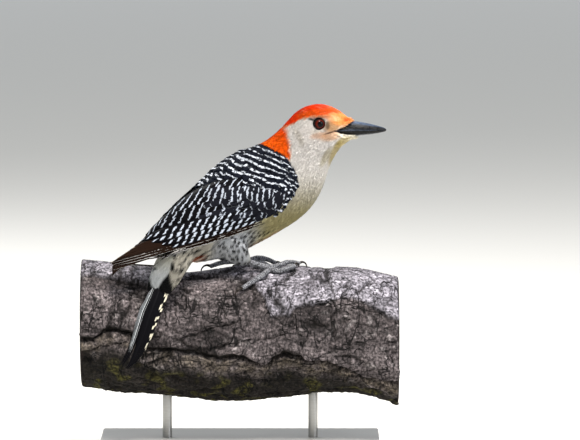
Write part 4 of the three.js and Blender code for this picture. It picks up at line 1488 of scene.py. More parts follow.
@dataclass
class Body:
    """The feathered body: its outline, the skin inside it and the soft coat over it."""

    flesh: tuple[str, ...] = (
        "head", "neck", "trunk", "thigh_right", "thigh_left", "wing_right", "wing_left", "primaries_right",
        "primaries_left", "tail_coverts",
    )
    voxel: float = 0.75
    grow: float = 0.1
    coat_depth: float = 1.5
    face_depth: float = 0.6
    horn_clearance: float = 0.7
    relief: tuple[Bulge, ...] = (
        Bulge(*EYE, 3.6, -0.9),
        Bulge(41.5, 216.0, 3.4, 0.5),
        Bulge(31.0, 205.5, 6.0, 0.5),
        Bulge(49.0, 208.6, 3.0, -0.45),
        Bulge(47.0, 203.0, 4.0, 0.35),
    )

    def outline(self) -> Surface:
        """The outer ends of the coat, as one smooth closed surface in the bird's frame."""
        points, triangles = even_skin(self.flesh, self.voxel, 10, self.grow)
        places = BIRD.to_bird(points)
        surface = Surface(places, triangles[:, ::-1])
        for bulge in self.relief:
            distance = np.hypot(places[:, 0] - bulge.s, places[:, 2] - bulge.z) / bulge.size
            rise = bulge.rise * np.exp(-(distance**2)) * ease(np.abs(places[:, 1]), 4, 9)
            places = places + surface.corner_normals * rise[:, None]
        bare = GAPE.share(places)
        limit = np.maximum(BILL.half_at(places[:, 0], places[:, 2]) - self.horn_clearance, 0.0)
        narrowed = np.sign(places[:, 1]) * np.minimum(np.abs(places[:, 1]), limit)
        places[:, 1] += (narrowed - places[:, 1]) * bare
        return Surface(places, triangles[:, ::-1])

    def depth(self, places: Array) -> Array:
        """Depth of the coat at each place, in mm."""
        face = ease(places[:, 0], 30, 50) * ease(places[:, 2], 190, 200)
        return self.coat_depth + (self.face_depth - self.coat_depth) * face

    def build_skin(self, outline: Surface) -> None:
        """One skin for all the flesh, inside the outline by the coat's depth."""
        ray_start, ray_length, very_thick = 0.05, 12.0, 20.0
        places, normals = outline.places, outline.corner_normals
        starts = places - normals * ray_start
        thick = np.full(len(places), very_thick)
        for number, (start, normal) in enumerate(zip(starts.tolist(), normals)):
            hit, _, _, distance = outline.tree.ray_cast(Vector(start), Vector(-normal), ray_length)
            if hit is not None:
                thick[number] = distance
        blade = ease(-places[:, 0], 36, 48) * MARKINGS.barred(places)
        inset = np.minimum(self.depth(places), (0.3 + 0.17 * blade) * thick)
        inner = places - normals * inset[:, None]
        ground = MARKINGS.colours(places)
        dark = linear("#15151A")
        ground = blend(ground, dark, np.maximum(MARKINGS.barred(places), GAPE.share(places)))
        ground = blend(ground, linear("#1C110B"), MARKINGS.wing_tip(places))
        shape = Shape(BIRD.to_world(inner), [outline.triangles], {"Coat": ground * 0.9})
        skin = mesh_object("bird_skin", shape, mirrored=True)
        apply_modifier(skin, "SMOOTH", factor=0.5, iterations=4)
        finish_piece(skin, BARE_SKIN, self.flesh)


@dataclass
class CoatPart:
    """A part of the soft coat: which places it covers, and the size of its tufts in mm."""

    name: str
    slot: str
    covers: Callable[[Array], Array]
    spacing: float
    length: float
    half_width: float
    barbs: int = 6
    turn: float = 10.0
    tip_lift: float = 0.1
    contrast: float = 0.10
    streak: float = 0.15


@dataclass
class Coat:
    """The soft coat of small feathers on head, neck, breast, belly, thighs and tail base."""

    seed: int = 11
    cover: float = 0.95
    streak_length: float = 6.0
    streak_width: float = 0.9
    spot_gap: Pair = (3.4, 2.9)
    spot_radius: float = 1.0
    eye_clearance: float = 3.1
    breast_top: float = 172.0
    thigh_top: float = 145.0
    thigh_span: Pair = (-34.0, 16.0)
    rump_front: float = -30.0
    spine_length: float = 190.0
    mean_radius: float = 14.0

    def size_share(self, places: Array) -> Array:
        """Tufts are smallest round the eye and at the bill."""
        s, _, z = places.T
        from_eye = np.hypot(s - 41.0, z - 210.0)
        face = 0.42 + 0.58 * ease(from_eye, 4, 15)
        return np.where(z > 185, face, 1.0)

    def parts(self) -> list[CoatPart]:
        """The parts of the soft coat, from bill to tail."""

        def soft(places: Array) -> Array:
            """True off the barred feathers, the ends of the wings, the eyes and the bill."""
            s, out, z = places.T
            eye = (np.hypot(s - EYE[0], z - EYE[1]) < self.eye_clearance) & (np.abs(out) > 6)
            bill = (s > 61.5) & (np.abs(out) < 4.5) & (z > 203.5) & (z < 211.5)
            bare = GAPE.share(places - np.array([0.7, 0.0, 0.0])) > 0.4
            shrunk = places + np.array([1.5, 0.0, 0.0])
            return ~eye & ~bill & ~bare & ~MARKINGS.barred(shrunk) & ~MARKINGS.wing_tip(places)

        def cap(places: Array) -> Array:
            """Crown and nape."""
            return soft(places) & (MARKINGS.red(places) > 0.5)

        def face(places: Array) -> Array:
            """The head below the cap and above the throat."""
            return soft(places) & ~cap(places) & (places[:, 2] > 199 - 0.25 * (places[:, 0] - 30))

        def neck(places: Array) -> Array:
            """From the throat to the breast."""
            return soft(places) & ~face(places) & ~cap(places) & (places[:, 2] > self.breast_top)

        def thigh(places: Array) -> Array:
            """The feathered legs and the flanks beside them."""
            s, _, z = places.T
            rear, front = self.thigh_span
            return soft(places) & (z < self.thigh_top) & (s > rear) & (s < front)

        def rump(places: Array) -> Array:
            """The coverts over the root of the tail."""
            return soft(places) & ~thigh(places) & (places[:, 0] < self.rump_front)

        def belly(places: Array) -> Array:
            """Breast and belly between the rest."""
            return soft(places) & (places[:, 2] <= self.breast_top) & ~thigh(places) & ~rump(places)

        return [
            CoatPart("plumage_cap", "crown_plumage", cap, 0.70, 4.8, 0.75, 6, 8, 0.14, 0.12, 0.20),
            CoatPart("plumage_face", "crown_plumage", face, 0.68, 4.8, 0.75, 6, 8, 0.08, 0.05, 0.07),
            CoatPart("plumage_neck", "breast_plumage", neck, 0.80, 7.0, 1.0, 6, 7, 0.10, 0.05, 0.08),
            CoatPart("plumage_breast", "breast_plumage", belly, 0.93, 8.8, 1.2, 6, 8, 0.14, 0.06, 0.08),
            CoatPart("plumage_flank", "breast_plumage", thigh, 0.80, 4.4, 0.8, 6, 12, 0.25, 0.08, 0.10),
            CoatPart("plumage_rump", "covert_plumage", rump, 0.85, 7.0, 0.9, 6, 5, 0.06, 0.06, 0.12),
        ]

    def build(self, outline: Surface, body: Body) -> None:
        """Makes every part of the soft coat, each side of the bird as a piece."""
        for number, part in enumerate(self.parts()):
            rng = np.random.default_rng(self.seed + number)

            def spacing(places: Array) -> Array:
                """Distance between roots, none outside the part."""
                return np.where(part.covers(places), part.spacing * self.size_share(places) ** 0.7, 0.0)

            roots = outline.scatter(spacing, rng)
            for side in Side:
                chosen = roots[(roots[:, 1] >= 0) == (side is Side.RIGHT)]
                self.build_side(outline, body, part, side, chosen, rng)

    def build_side(
        self, outline: Surface, body: Body, part: CoatPart, side: Side, roots: Array, rng: Chance
    ) -> None:
        """Lays and paints the tufts of one side of one part.

        Args:
            outline: The surface that the tips reach.
            body: Gives the coat's depth.
            part: The part to make.
            side: Which side.
            roots: Where the tufts start.
            rng: The seeded source of chance.
        """
        count = len(roots)
        way = combed(outline, roots, part.turn, rng)
        size = self.size_share(roots) * (1 + 0.15 * rng.normal(size=count)).clip(0.7, 1.4)
        lengths = part.length * size
        lines = Midlines.traced(outline, roots - way * (lengths * 0.5)[:, None], way, lengths, 4)
        template = Template.tuft(part.barbs, self.cover, rng)
        lift = part.tip_lift * (0.3 + 1.4 * rng.random(count) ** 2)
        sunk = -body.depth(roots) * 0.9
        places = lines.spread(template, part.half_width * size**0.6, sunk, lift).reshape(-1, 3)
        tint = self.painted(places) * (1 + part.streak * self.streaks(places))[:, None]
        vary = 1 + part.contrast * rng.normal(size=(count, part.barbs))
        # Each tuft is painted darker towards its root: painted shade where the tufts lie over one another.
        root_shade = 0.12 + 1.2 * part.contrast
        shade = vary[:, template.strand] * (1 - root_shade + root_shade * template.places[:, 0])[None]
        tint = tint.reshape(count, -1, 3) * shade[..., None]
        shape = tuft_shape(places, template, roots, tint, rng)
        add_piece(f"{part.name}_{side.label}", shape, SOFT_COAT)

    def streaks(self, places: Array) -> Array:
        """Soft streaks along the lie of the coat, from -1 to 1."""
        share, angle, _ = SPINE.locate(places)
        along = share * self.spine_length / self.streak_length
        unrolled = np.stack((along, angle * self.mean_radius / self.streak_width), axis=1)
        return 0.6 * soft_noise(unrolled, 1.0, 31) + 0.4 * soft_noise(unrolled, 0.45, 32)

    def painted(self, places: Array) -> Array:
        """The coat's colours with the dark spots of flanks and vent."""
        s, _, z = places.T
        ground = MARKINGS.colours(places)
        flank = ease(-z, -147.5, -143.5) * ease(-s, -9, -4) * ease(s, -34, -28)
        gaps = np.array(self.spot_gap)
        flat = np.stack((s, z), axis=1) / gaps
        flat[:, 0] += 0.5 * (np.floor(flat[:, 1]) % 2)
        cell = np.floor(flat)
        middle = cell + 0.5 + 0.5 * np.stack((hashed(cell, 3) - 0.5, hashed(cell, 4) - 0.5), axis=1)
        away = np.hypot(*((flat - middle) * gaps).T)
        radius = self.spot_radius * (0.75 + 0.6 * hashed(cell, 6))
        spot = (1 - ease(away - radius, -0.35, 0.35)) * (hashed(cell, 5) < 0.85)
        return blend(ground, linear("#08080A"), spot * flank)


@dataclass(frozen=True)
class BristleRow:
    """Stiff small feathers from a line of roots to a line of tips, each line by its ends (s, out, z)."""

    count: int
    roots: tuple[Triple, Triple]
    tips: tuple[Triple, Triple]
    half_width: float
    code: str = ""


@dataclass
class Bristles:
    """Feathers that point forwards over the base of the bill: over the nostrils and under the chin."""

    seed: int = 91
    barbs: int = 5
    scatter: float = 0.45
    axis_z: float = 206.4
    rows: tuple[BristleRow, ...] = (
        BristleRow(
            46, ((51.5, 9.2, 208.2), (60.5, 3.0, 212.9)), ((55.0, 8.0, 208.0), (64.2, 1.6, 212.3)), 0.55,
        ),
        BristleRow(
            40, ((50.5, 9.8, 210.0), (59.5, 2.0, 214.0)), ((55.5, 7.6, 209.9), (63.6, 0.8, 212.6)), 0.6,
        ),
        BristleRow(
            44, ((52.0, 8.8, 203.6), (60.5, 3.9, 201.9)), ((56.5, 7.0, 203.3), (65.0, 3.0, 202.7)), 0.6,
            "#E2DCCB",
        ),
        BristleRow(
            40, ((54.5, 6.4, 200.5), (60.5, 0.4, 200.6)), ((60.5, 4.6, 201.7), (67.6, 0.3, 202.2)), 0.7,
            "#E4DDC8",
        ),
    )

    def build(self) -> None:
        """Makes the bristles of both sides as one piece."""
        rng = np.random.default_rng(self.seed)
        template = Template.tuft(self.barbs, 0.8, rng)
        shapes = [self.row_shape(row, side, template, rng) for row in self.rows for side in Side]
        add_piece("plumage_bristles", Shape.joined(shapes), SOFT_COAT)

    def row_shape(self, row: BristleRow, side: Side, template: Template, rng: Chance) -> Shape:
        """Lays one row on one side.

        Args:
            row: Where its feathers are.
            side: Which side.
            template: The feather.
            rng: The seeded source of chance.

        Returns:
            The row's mesh.
        """
        share = (np.arange(row.count) + rng.random(row.count))[:, None] / row.count
        root = between(*row.roots, share)
        tip = between(*row.tips, share)
        root += self.scatter * rng.normal(size=root.shape)
        tip += self.scatter * rng.normal(size=tip.shape)
        along = np.linspace(0, 1, 4)[None, :, None]
        centres = between(root[:, None], tip[:, None], along)
        axis = centres * np.array([1.0, 0.0, 0.0]) + np.array([0.0, 0.0, self.axis_z])
        normals = unit(centres - axis)
        centres += normals * 0.5 * (along * (1 - along))
        centres[..., 1] *= side.value
        normals[..., 1] *= side.value
        lines = Midlines(centres, normals)
        still = np.zeros(row.count)
        half_widths = np.full(row.count, row.half_width)
        places = lines.spread(template, half_widths, still - 0.3, still).reshape(-1, 3)
        ground = MARKINGS.colours(root)
        if row.code:
            ground = blend(ground, linear(row.code), np.full(row.count, 0.8))
        vary = 1 + 0.16 * rng.normal(size=(row.count, self.barbs))
        tint = ground[:, None, :] * vary[:, template.strand][..., None]
        return tuft_shape(places, template, root, tint, rng)


# ---------------------------------------------------------------- back and wings


@dataclass
class Mantle:
    """The barred feathers of back, scapulars and shoulder, whose white bars join into long lines."""

    seed: int = 31
    spacing: float = 2.7
    length: float = 9.5
    half_width: float = 3.4
    turn: float = 7.0
    lower_edge: tuple[Pair, ...] = (
        (-42.0, 179.0), (-34.0, 173.5), (-22.0, 170.0), (-8.0, 167.0), (2.0, 161.0), (8.0, 157.5),
        (16.0, 162.0),
    )
    bar_duty: float = 0.24
    first_bar: float = 186.0
    base_gap: float = 3.0
    growth: float = 0.05
    busy_back: Patch = Patch("#000000", -20, 178, 16, 8)
    shoulder: Patch = Patch("#000000", 17, 174, 8, 14)

    def phase(self, places: Array, angle: Array) -> Array:
        """Which bar a place is on: bars fall 22 degrees forwards and lie further apart to the rear."""
        s, _, z = places.T
        down = -(0.375 * s + 0.927 * z) + self.first_bar
        bars = np.log(np.maximum(1 + self.growth / self.base_gap * down, 0.05)) / self.growth
        hook = 0.55 * (1 - ease(np.abs(angle), 0.0, math.radians(32)))
        return bars + hook + 0.3 * soft_noise(places, 8.0, 61)

    def covers(self, places: Array) -> Array:
        """True where these feathers have their roots."""
        s, _, z = places.T
        return MARKINGS.barred(places) & (z > np.interp(s, *zip(*self.lower_edge))) & (s > -40)

    def build(self, outline: Surface) -> None:
        """Makes the barred feathers of each side."""
        rng = np.random.default_rng(self.seed)

        def spacing(places: Array) -> Array:
            """Feathers are smaller near the neck and the shoulder's edge."""
            near = ease(places[:, 0], -20, 16)
            return np.where(self.covers(places), self.spacing * (1 - 0.3 * near), 0.0)

        roots = outline.scatter(spacing, rng)
        for side in Side:
            chosen = roots[(roots[:, 1] >= 0) == (side is Side.RIGHT)]
            self.build_side(outline, chosen, side, rng)

    def build_side(self, outline: Surface, roots: Array, side: Side, rng: Chance) -> None:
        """Lays and bars the feathers of one side.

        Args:
            outline: The surface that the tips reach.
            roots: Where the feathers start.
            side: Which side they are on.
            rng: The seeded source of chance.
        """
        count = len(roots)
        way = combed(outline, roots, self.turn, rng)
        near = ease(roots[:, 0], -20, 16)
        size = (1 - 0.28 * near) * (1 + 0.08 * rng.normal(size=count))
        lengths = self.length * size
        lines = Midlines.traced(outline, roots - way * (lengths * 0.3)[:, None], way, lengths, 5)
        template = Template.vane(TipShape.ROUND, 9)
        root_lift = np.full(count, -1.2)
        tip_lift = 0.25 + 0.15 * rng.random(count)
        places = lines.spread(template, self.half_width * size, root_lift, tip_lift, 0.10, outline)
        corners = places.reshape(-1, 3)
        _, angle, _ = SPINE.locate(corners)
        busy = self.busy_back.share(lines.centres[:, 2])
        shoulder = self.shoulder.share(lines.centres[:, 2])
        jitter = (0.05 + 0.22 * busy + 0.14 * shoulder) * rng.normal(size=count)
        each = len(template.places)
        phase = self.phase(corners, angle) + np.repeat(jitter, each)
        bold = 1 + 0.45 * soft_noise(lines.centres[:, 2], 11.0, 62)
        duty = self.bar_duty * bold * (1 - 0.25 * shoulder) * (1 + 0.12 * rng.normal(size=count))
        reach = 2.0 - 1.1 * shoulder - 1.0 * busy * (rng.random(count) < 0.6)
        vary = np.repeat(1 + 0.12 * rng.normal(size=count), each)[:, None]
        ground, mark = ((linear(code) * vary).clip(0, 1) for code in ("#0D1018", "#AFB5BE"))
        bars = (phase, np.repeat(duty, each), np.repeat(reach, each), 0.0)
        shape = vane_shape(BIRD.to_world(corners), template, ground, mark, bars)
        shape.maps["OFBake"] = own_cells(count, template, math.ceil(math.sqrt(count)))
        add_piece(f"mantle_{side.label}", shape, BACK_VANE)


@dataclass(frozen=True)
class FeatherRow:
    """A row of wing feathers. Pairs give the first and the last feather, in mm (s, z)."""

    name: str
    count: int
    roots: tuple[Pair, Pair]
    tips: tuple[Pair, Pair]
    half_widths: Pair
    lifts: Pair
    paint: Paint
    tip: TipShape = TipShape.ROUND
    bow: float = 0.0
    stray: float = 0.0
    camber: float = 0.06
    rise: float = 0.35


@dataclass
class Wing:
    """The folded wing: coverts over tertials, secondaries and primaries, each lying on the next."""

    seed: int = 51
    tuck: float = 3.2
    front: float = 27.6
    length: float = 125.8
    stations: int = 9
    stripe_scale: float = 0.45
    coverts: tuple[FeatherRow, ...] = (
        FeatherRow(
            "greater", 9, ((-25.0, 162.5), (8.0, 162.5)), ((-44.0, 154.5), (-2.5, 152.6)), (4.8, 3.6),
            (0.25, 0.35), Paint("#121319", "#959CA8", 0.15, 0.45, 0.05, 9.5, 0.8), stray=2.0,
        ),
        FeatherRow(
            "median", 9, ((-28.0, 169.5), (13.0, 169.0)), ((-42.0, 161.5), (4.5, 159.4)), (4.6, 3.4),
            (0.55, 0.65), Paint("#121319", "#A0A7B2", 0.14, 0.46, 0.06, 8.0, 0.8), stray=2.0,
        ),
        FeatherRow(
            "lesser", 8, ((-26.0, 174.0), (2.0, 170.5)), ((-38.0, 167.0), (-6.0, 163.0)), (4.2, 3.2),
            (0.8, 0.85), Paint("#121319", "#9CA3AE", 0.22, 1.3, 0.04, 5.4, 0.7), stray=2.0,
        ),
    )
    quills: tuple[FeatherRow, ...] = (
        FeatherRow(
            "secondaries", 4, ((-8.0, 160.0), (-2.0, 151.8)), ((-78.0, 140.6), (-61.0, 136.0)), (4.2, 3.2),
            (0.45, 0.15), Paint("#060608", "#A0A8B4", 0.35, 0.38, 0.0, 5.0, 0.86), bow=1.0,
        ),
        FeatherRow(
            "tertials", 4, ((-16.0, 176.0), (-16.0, 165.5)), ((-54.0, 160.5), (-75.5, 144.6)), (6.0, 4.6),
            (0.75, 0.5), Paint("#060608", "#A0A8B4", 0.17, 0.8, 0.0, 5.3, 0.72), bow=2.0,
        ),
    )
    tips: tuple[FeatherRow, ...] = (
        FeatherRow(
            "primary_edges", 5, ((-9.0, 152.3), (0.0, 149.4)), ((-97.6, 126.6), (-95.5, 120.6)), (2.0, 1.7),
            (0.05, 0.1), Paint("#1A100A", "#B4B2B0", 0.17, 2.0, 0.0, stripe=-0.72), TipShape.POINTED,
        ),
        FeatherRow(
            "primary_fold", 4, ((-34.0, 150.5), (-26.0, 148.5)), ((-84.0, 136.0), (-99.0, 127.8)),
            (3.8, 2.4), (0.1, -0.1), Paint("#1C110B", "#A8957C", 0.0, 2.0, 0.05), TipShape.POINTED,
        ),
    )

    def build(self, outline: Surface) -> None:
        """Makes both wings' feathers in three pieces each."""
        for side in Side:
            rng = np.random.default_rng(self.seed)
            groups = {"wing_coverts": self.coverts, "wing_quills": self.quills, "wing_tip_quills": self.tips}
            for name, rows in groups.items():
                shape = Shape.joined([self.row_shape(outline, row, side, rng) for row in rows])
                total = sum(row.count for row in rows)
                columns = math.ceil(math.sqrt(total)) if rows is self.coverts else total
                shape.maps["OFBake"] = own_cells(total, Template.vane(TipShape.ROUND), columns)
                add_piece(f"{name}_{side.label}", shape, STIFF_VANE)

    def tucked(self, places: Array, side: Side) -> Array:
        """The far wing lies a little shorter and lower at its tip."""
        if side is Side.RIGHT:
            return places
        share = np.clip((self.front - places[..., 0]) / self.length, 0, 1)
        moved = places.copy()
        moved[..., 0] += self.tuck * share**3
        moved[..., 1] -= self.tuck * share**3
        return moved

    def row_shape(self, outline: Surface, row: FeatherRow, side: Side, rng: Chance) -> Shape:
        """Lays one row of feathers on the wing.

        Args:
            outline: The surface of the folded wing.
            row: The row's sizes and marks.
            side: Which wing.
            rng: The seeded source of chance.

        Returns:
            The row's mesh without its bake map.
        """
        share = np.linspace(0, 1, row.count)[:, None]
        scatter = row.stray * rng.normal(size=(row.count, 2)) * 0.5
        root = between(*row.roots, share)
        tip = between(*row.tips, share) + scatter
        along = np.linspace(0, 1, self.stations)[None, :, None]
        flat = between(root[:, None], tip[:, None], along)
        flat[..., 1] += row.bow * 4 * (along * (1 - along))[..., 0]
        flat = self.tucked(flat, side)
        lines = self.laid(outline, flat, side)
        template = Template.vane(row.tip)
        half = row.half_widths[0] + (row.half_widths[1] - row.half_widths[0]) * share[:, 0]
        lift = row.lifts[0] + (row.lifts[1] - row.lifts[0]) * share[:, 0]
        places = lines.spread(template, half, lift - row.rise, lift, row.camber, outline)
        lengths = np.linalg.norm(tip - root, axis=1)
        paint = row.paint
        upwards = template.edge * side.value
        start = rng.random(row.count)[:, None]
        phase = template.places[None, :, 0] * lengths[:, None] / paint.spacing
        phase = phase + paint.slant * upwards[None] * half[:, None] / paint.spacing + start
        if paint.stripe is not None:
            phase = np.broadcast_to(0.5 + self.stripe_scale * (upwards - paint.stripe), phase.shape)
        each = len(template.places)
        duty = np.repeat(paint.duty * (1 + 0.15 * rng.normal(size=row.count)), each)
        vary = np.repeat(1 + 0.1 * rng.normal(size=row.count), each)[:, None]
        ground, mark = linear(paint.ground) * vary, linear(paint.mark) * vary.clip(0.8, 1.1)
        bars = (phase.ravel(), duty, paint.reach, paint.fringe)
        return vane_shape(BIRD.to_world(places.reshape(-1, 3)), template, ground, mark, bars)

    def laid(self, outline: Surface, flat: Array, side: Side) -> Midlines:
        """Drops lines given in side view onto the wing from its own side."""
        count, stations = flat.shape[:2]
        outside = 45.0 * side.value
        starts = np.insert(flat, 1, outside, axis=-1).reshape(-1, 3)
        hits = outline.cast(starts, (0.0, -float(side.value), 0.0))
        missed = np.isnan(hits[:, 0])
        hits[missed] = starts[missed] * np.array([1.0, 0.12, 1.0])
        places, normals = outline.nearest(hits)
        shape = (count, stations, 3)
        return Midlines(places.reshape(shape), normals.reshape(shape))


# ---------------------------------------------------------------- tail


@dataclass
class Tail:
    """The stiff tail: twelve pointed feathers stacked in a ridge, the middle pair on top."""

    ridge: tuple[Triple, ...] = (
        (-46.5, -31.0, 127.0), (-52.4, -43.8, 109.5), (-58.6, -50.4, 96.2), (-62.9, -54.0, 81.4),
        (-67.6, -55.9, 68.9), (-72.3, -56.6, 61.8),
    )
    face_turn: float = math.radians(52.0)
    pairs: int = 6
    stations: int = 12
    middle_length: float = 0.99
    outer_length: float = 0.72
    spread_root: float = 1.1
    spread_tip: float = 1.5
    first_gap: float = 1.4
    gaps: Pair = (1.15, 0.55)
    lined_hand: int = -1
    lined_pairs: int = 4
    line_gap: float = 0.6
    line_duty: float = 0.4
    spot_gap: float = 7.6
    spot_duty: float = 0.4
    seed: int = 71

    def frame(self) -> tuple[Array, Array, Array]:
        """The ridge's places in mm, its outward direction and the direction across it."""
        line = through(self.ridge, 60)
        along = unit(np.gradient(line, axis=0))
        facing = np.array([-math.cos(self.face_turn), -math.sin(self.face_turn), 0.0])
        outward = along_surface(np.broadcast_to(facing, along.shape), along)
        return line, outward, np.cross(outward, along)

    def build(self) -> None:
        """Makes all the tail feathers as one piece."""
        rng = np.random.default_rng(self.seed)
        frame = self.frame()
        template = Template.vane(TipShape.POINTED, thickness=0.5)
        shapes = []
        for pair in reversed(range(self.pairs)):
            for hand in (-1, 1):
                shapes.append(self.feather(frame, template, pair, hand, rng))
        shape = Shape.joined(shapes)
        shape.maps["OFBake"] = own_cells(2 * self.pairs, template, 2 * self.pairs)
        add_piece("tail_quills", shape, TAIL_VANE, ("tail",), mirrored=False)

    def feather(
        self, frame: tuple[Array, Array, Array], template: Template, pair: int, hand: int, rng: Chance
    ) -> Shape:
        """One tail feather.

        Args:
            frame: The ridge in mm, the way the tail's upper face looks, and the way across it.
            template: The feather.
            pair: Its number from the middle pair outwards.
            hand: -1 or 1 for its side of the ridge.
            rng: The seeded source of chance.

        Returns:
            Its mesh without the bake map.
        """
        share = pair / (self.pairs - 1)
        length = self.middle_length + (self.outer_length - self.middle_length) * share**1.5
        last = len(frame[0]) - 1
        spots = np.linspace(0, length, self.stations) * last
        low = np.minimum(spots.astype(int), last - 1)
        part = (spots - low)[:, None]
        place, up, over = (between(row[low], row[low + 1], part) for row in frame)
        away = np.linspace(0, 1, self.stations)[:, None]
        width_now = self.spread_root + (self.spread_tip - self.spread_root) * np.sin(away * math.pi * 0.8)
        gap = self.gaps[0] if hand == self.lined_hand else self.gaps[1]
        shift = hand * (self.first_gap + pair * gap) * width_now
        drop = -0.35 * pair - 0.06 * shift**2
        centre = place + over * shift + up * drop
        tilt = unit(up + over * hand * (0.16 + 0.05 * pair))
        lines = Midlines(centre[None], tilt[None])
        half = np.array([3.0 - 0.1 * pair])
        places = lines.spread(template, half, np.zeros(1), np.zeros(1), 0.10)
        size = np.linalg.norm(np.diff(centre, axis=0), axis=1).sum()
        along = template.places[:, 0]
        outwards = template.edge * hand
        lined = hand == self.lined_hand and pair < self.lined_pairs
        if lined:
            phase = (outwards - 0.78) / self.line_gap + 0.5
            duty = np.where((along < 0.74 - 0.05 * pair) & (outwards > -0.1), self.line_duty, 0.0)
        else:
            sway = 0.25 * outwards + 0.3 * np.sin(along * 13.0 + pair)
            phase = along * size / self.spot_gap + sway + rng.random()
            duty = self.spot_duty * ((outwards > 0.1) & (along < 0.95) & (pair >= self.lined_pairs))
        ground = np.tile(linear("#0A0A0D"), (len(along), 1))
        mark = np.tile(linear("#DCE2E6" if lined else "#C8C3AE"), (len(along), 1))
        return vane_shape(places.reshape(-1, 3) * MM, template, ground, mark, (phase, duty, 2.0, 0.0))


# ---------------------------------------------------------------- eyes


@dataclass
class Eyes:
    """Round eyes set in the head, each in a ring of bare beaded lid."""

    s: float = EYE[0]
    out: float = 10.1
    z: float = EYE[1]
    radius: float = 3.9
    lid_radius: float = 3.05
    lid_thickness: float = 0.26
    lid_out: float = 12.75

    def build(self) -> None:
        """Makes both eyes and their lids."""
        for side in Side:
            self.ball(side)
            self.lid(side)

    def world(self, s: float, out: float, z: float) -> Array:
        """One place of the bird's frame, in metres."""
        return BIRD.to_world(np.array([[s, out, z]]))[0]

    def ball(self, side: Side) -> None:
        """One glass eye, with the distance from its gaze painted on it."""
        centre = self.world(self.s, self.out * side.value, self.z)
        gaze = unit(self.world(self.s + 0.9, (self.out + 4) * side.value, self.z) - centre)
        sizes = {"segments": 64, "ring_count": 40, "radius": self.radius * MM, "location": centre.tolist()}
        piece = add_solid(f"eyeball_{side.label}", "uv_sphere", **sizes)
        bpy.ops.object.shade_smooth()
        places, _ = mesh_arrays(piece)
        ray = (places - centre) / (self.radius * MM)
        away = np.linalg.norm(ray - gaze * (ray @ gaze)[:, None], axis=1)
        away = np.where(ray @ gaze > 0, away, 1.2)
        layer = piece.data.color_attributes.new("Gaze", "FLOAT_COLOR", "POINT")
        full = np.ones((len(places), 4), np.float32) * away[:, None]
        layer.data.foreach_set("color", full.astype(np.float32).ravel())
        finish_piece(piece, EYE_GLASS, (f"eye_{side.label}",))

    def lid(self, side: Side) -> None:
        """The bare ring of lid round one eye, with fine beads."""
        around, tube = 72, 10
        angle = np.repeat(np.arange(around) / around * TURN, tube)
        turn = np.tile(np.arange(tube) / tube * TURN, around)
        bead = 1 + 0.16 * np.sin(angle * 24) * np.cos(turn / 2) ** 2
        radius = self.lid_radius + self.lid_thickness * bead * np.cos(turn)
        s = self.s + radius * np.cos(angle) * 1.06
        z = self.z + radius * np.sin(angle) * 0.97
        lean = 0.22 * (s - self.s) + 0.05 * (z - self.z)
        out = self.lid_out - lean + self.lid_thickness * bead * np.sin(turn)
        places = np.stack((s, out * side.value, z), axis=1)
        ground = np.tile(linear("#100E0D"), (len(places), 1))
        shape = Shape(BIRD.to_world(places), [tube_faces(around, tube, closed=True)], {"Coat": ground})
        turned = side is Side.RIGHT
        add_piece(f"eyelid_{side.label}", shape, BARE_SKIN, mirrored=turned)


# ---------------------------------------------------------------- feet


@dataclass
class Feet:
    """Scaled tarsi and toes, two forward and two back on each foot, with curved claws."""

    toes: tuple[str, ...] = ("hallux", "second", "third", "fourth")
    scute: float = 1.15
    scute_depth: float = 0.3
    voxel: float = 0.22
    grow: float = 0.4

    def build(self) -> None:
        """Makes each foot and each claw."""
        for side in ("right", "left"):
            nodes = [f"tarsus_{side}"] + [f"toe_{toe}_{side}" for toe in self.toes]
            shape = Shape.joined([self.scaled(node) for node in nodes])
            add_piece(f"foot_{side}", shape, FOOT_SKIN, tuple(nodes), mirrored=False)
            for toe in self.toes:
                node = f"claw_{toe}_{side}"
                claw = merged_copy(f"horn_{node}", (node,))
                apply_modifier(claw, "SUBSURF", levels=2, render_levels=2)
                select_only(claw)
                bpy.ops.object.shade_smooth()
                finish_piece(claw, CLAW_HORN, (node,))

    def scaled(self, node: str) -> Shape:
        """One tarsus or toe, rounded and cut into scutes along its length."""
        points, triangles = even_skin((node,), self.voxel, 8, self.grow)
        places = points / MM
        surface = Surface(places, triangles)
        middle = places.mean(axis=0)
        _, _, axes = np.linalg.svd(places - middle, full_matrices=False)
        along = (places - middle) @ axes[0] + 0.5 * soft_noise(places, 1.8, 5)
        upward = surface.corner_normals[:, 2]
        saw = along / self.scute - np.floor(along / self.scute)
        ridge = 1 - np.abs(2 * saw - 1) ** 2.5
        dots = 0.5 + 0.5 * soft_noise(places, 0.45, 3)
        height = blend(dots[:, None], ridge[:, None], ease(upward, -0.3, 0.2))[:, 0]
        moved = places + surface.corner_normals * (self.scute_depth * (height - 0.6))[:, None]
        return Shape(moved * MM, [triangles], {"Scute": np.repeat(height[:, None], 3, axis=1)})


# ---------------------------------------------------------------- branch and stand


@dataclass(frozen=True)
class Fissure:
    """A long split along the bark, by places (along, round from the top) in mm, and its section in mm."""

    points: tuple[Pair, ...]
    depth: float
    half_width: float
    ledge: float

    def below(self, spots: Array) -> Array:
        """How far round below the split each place of the unrolled bark is."""
        return spots[:, 1] - np.interp(spots[:, 0], *zip(*self.points))

    def gap(self, spots: Array) -> Array:
        """1 in the split's open middle, 0 off it."""
        return 1 - ease(np.abs(self.below(spots)), 0.5 * self.half_width, 1.3 * self.half_width)

    def lip(self, spots: Array) -> Array:
        """Height of the thick plate that ends at the split, and the worn bark sunk below it."""
        below = self.below(spots)
        plate = ease(-below, -0.4, 1.2) * np.exp(np.minimum(below, 0) / 14.0)
        worn = ease(below, -0.4, 1.2) * np.exp(-np.maximum(below, 0) / 9.0)
        return self.ledge * (plate - 0.7 * worn)


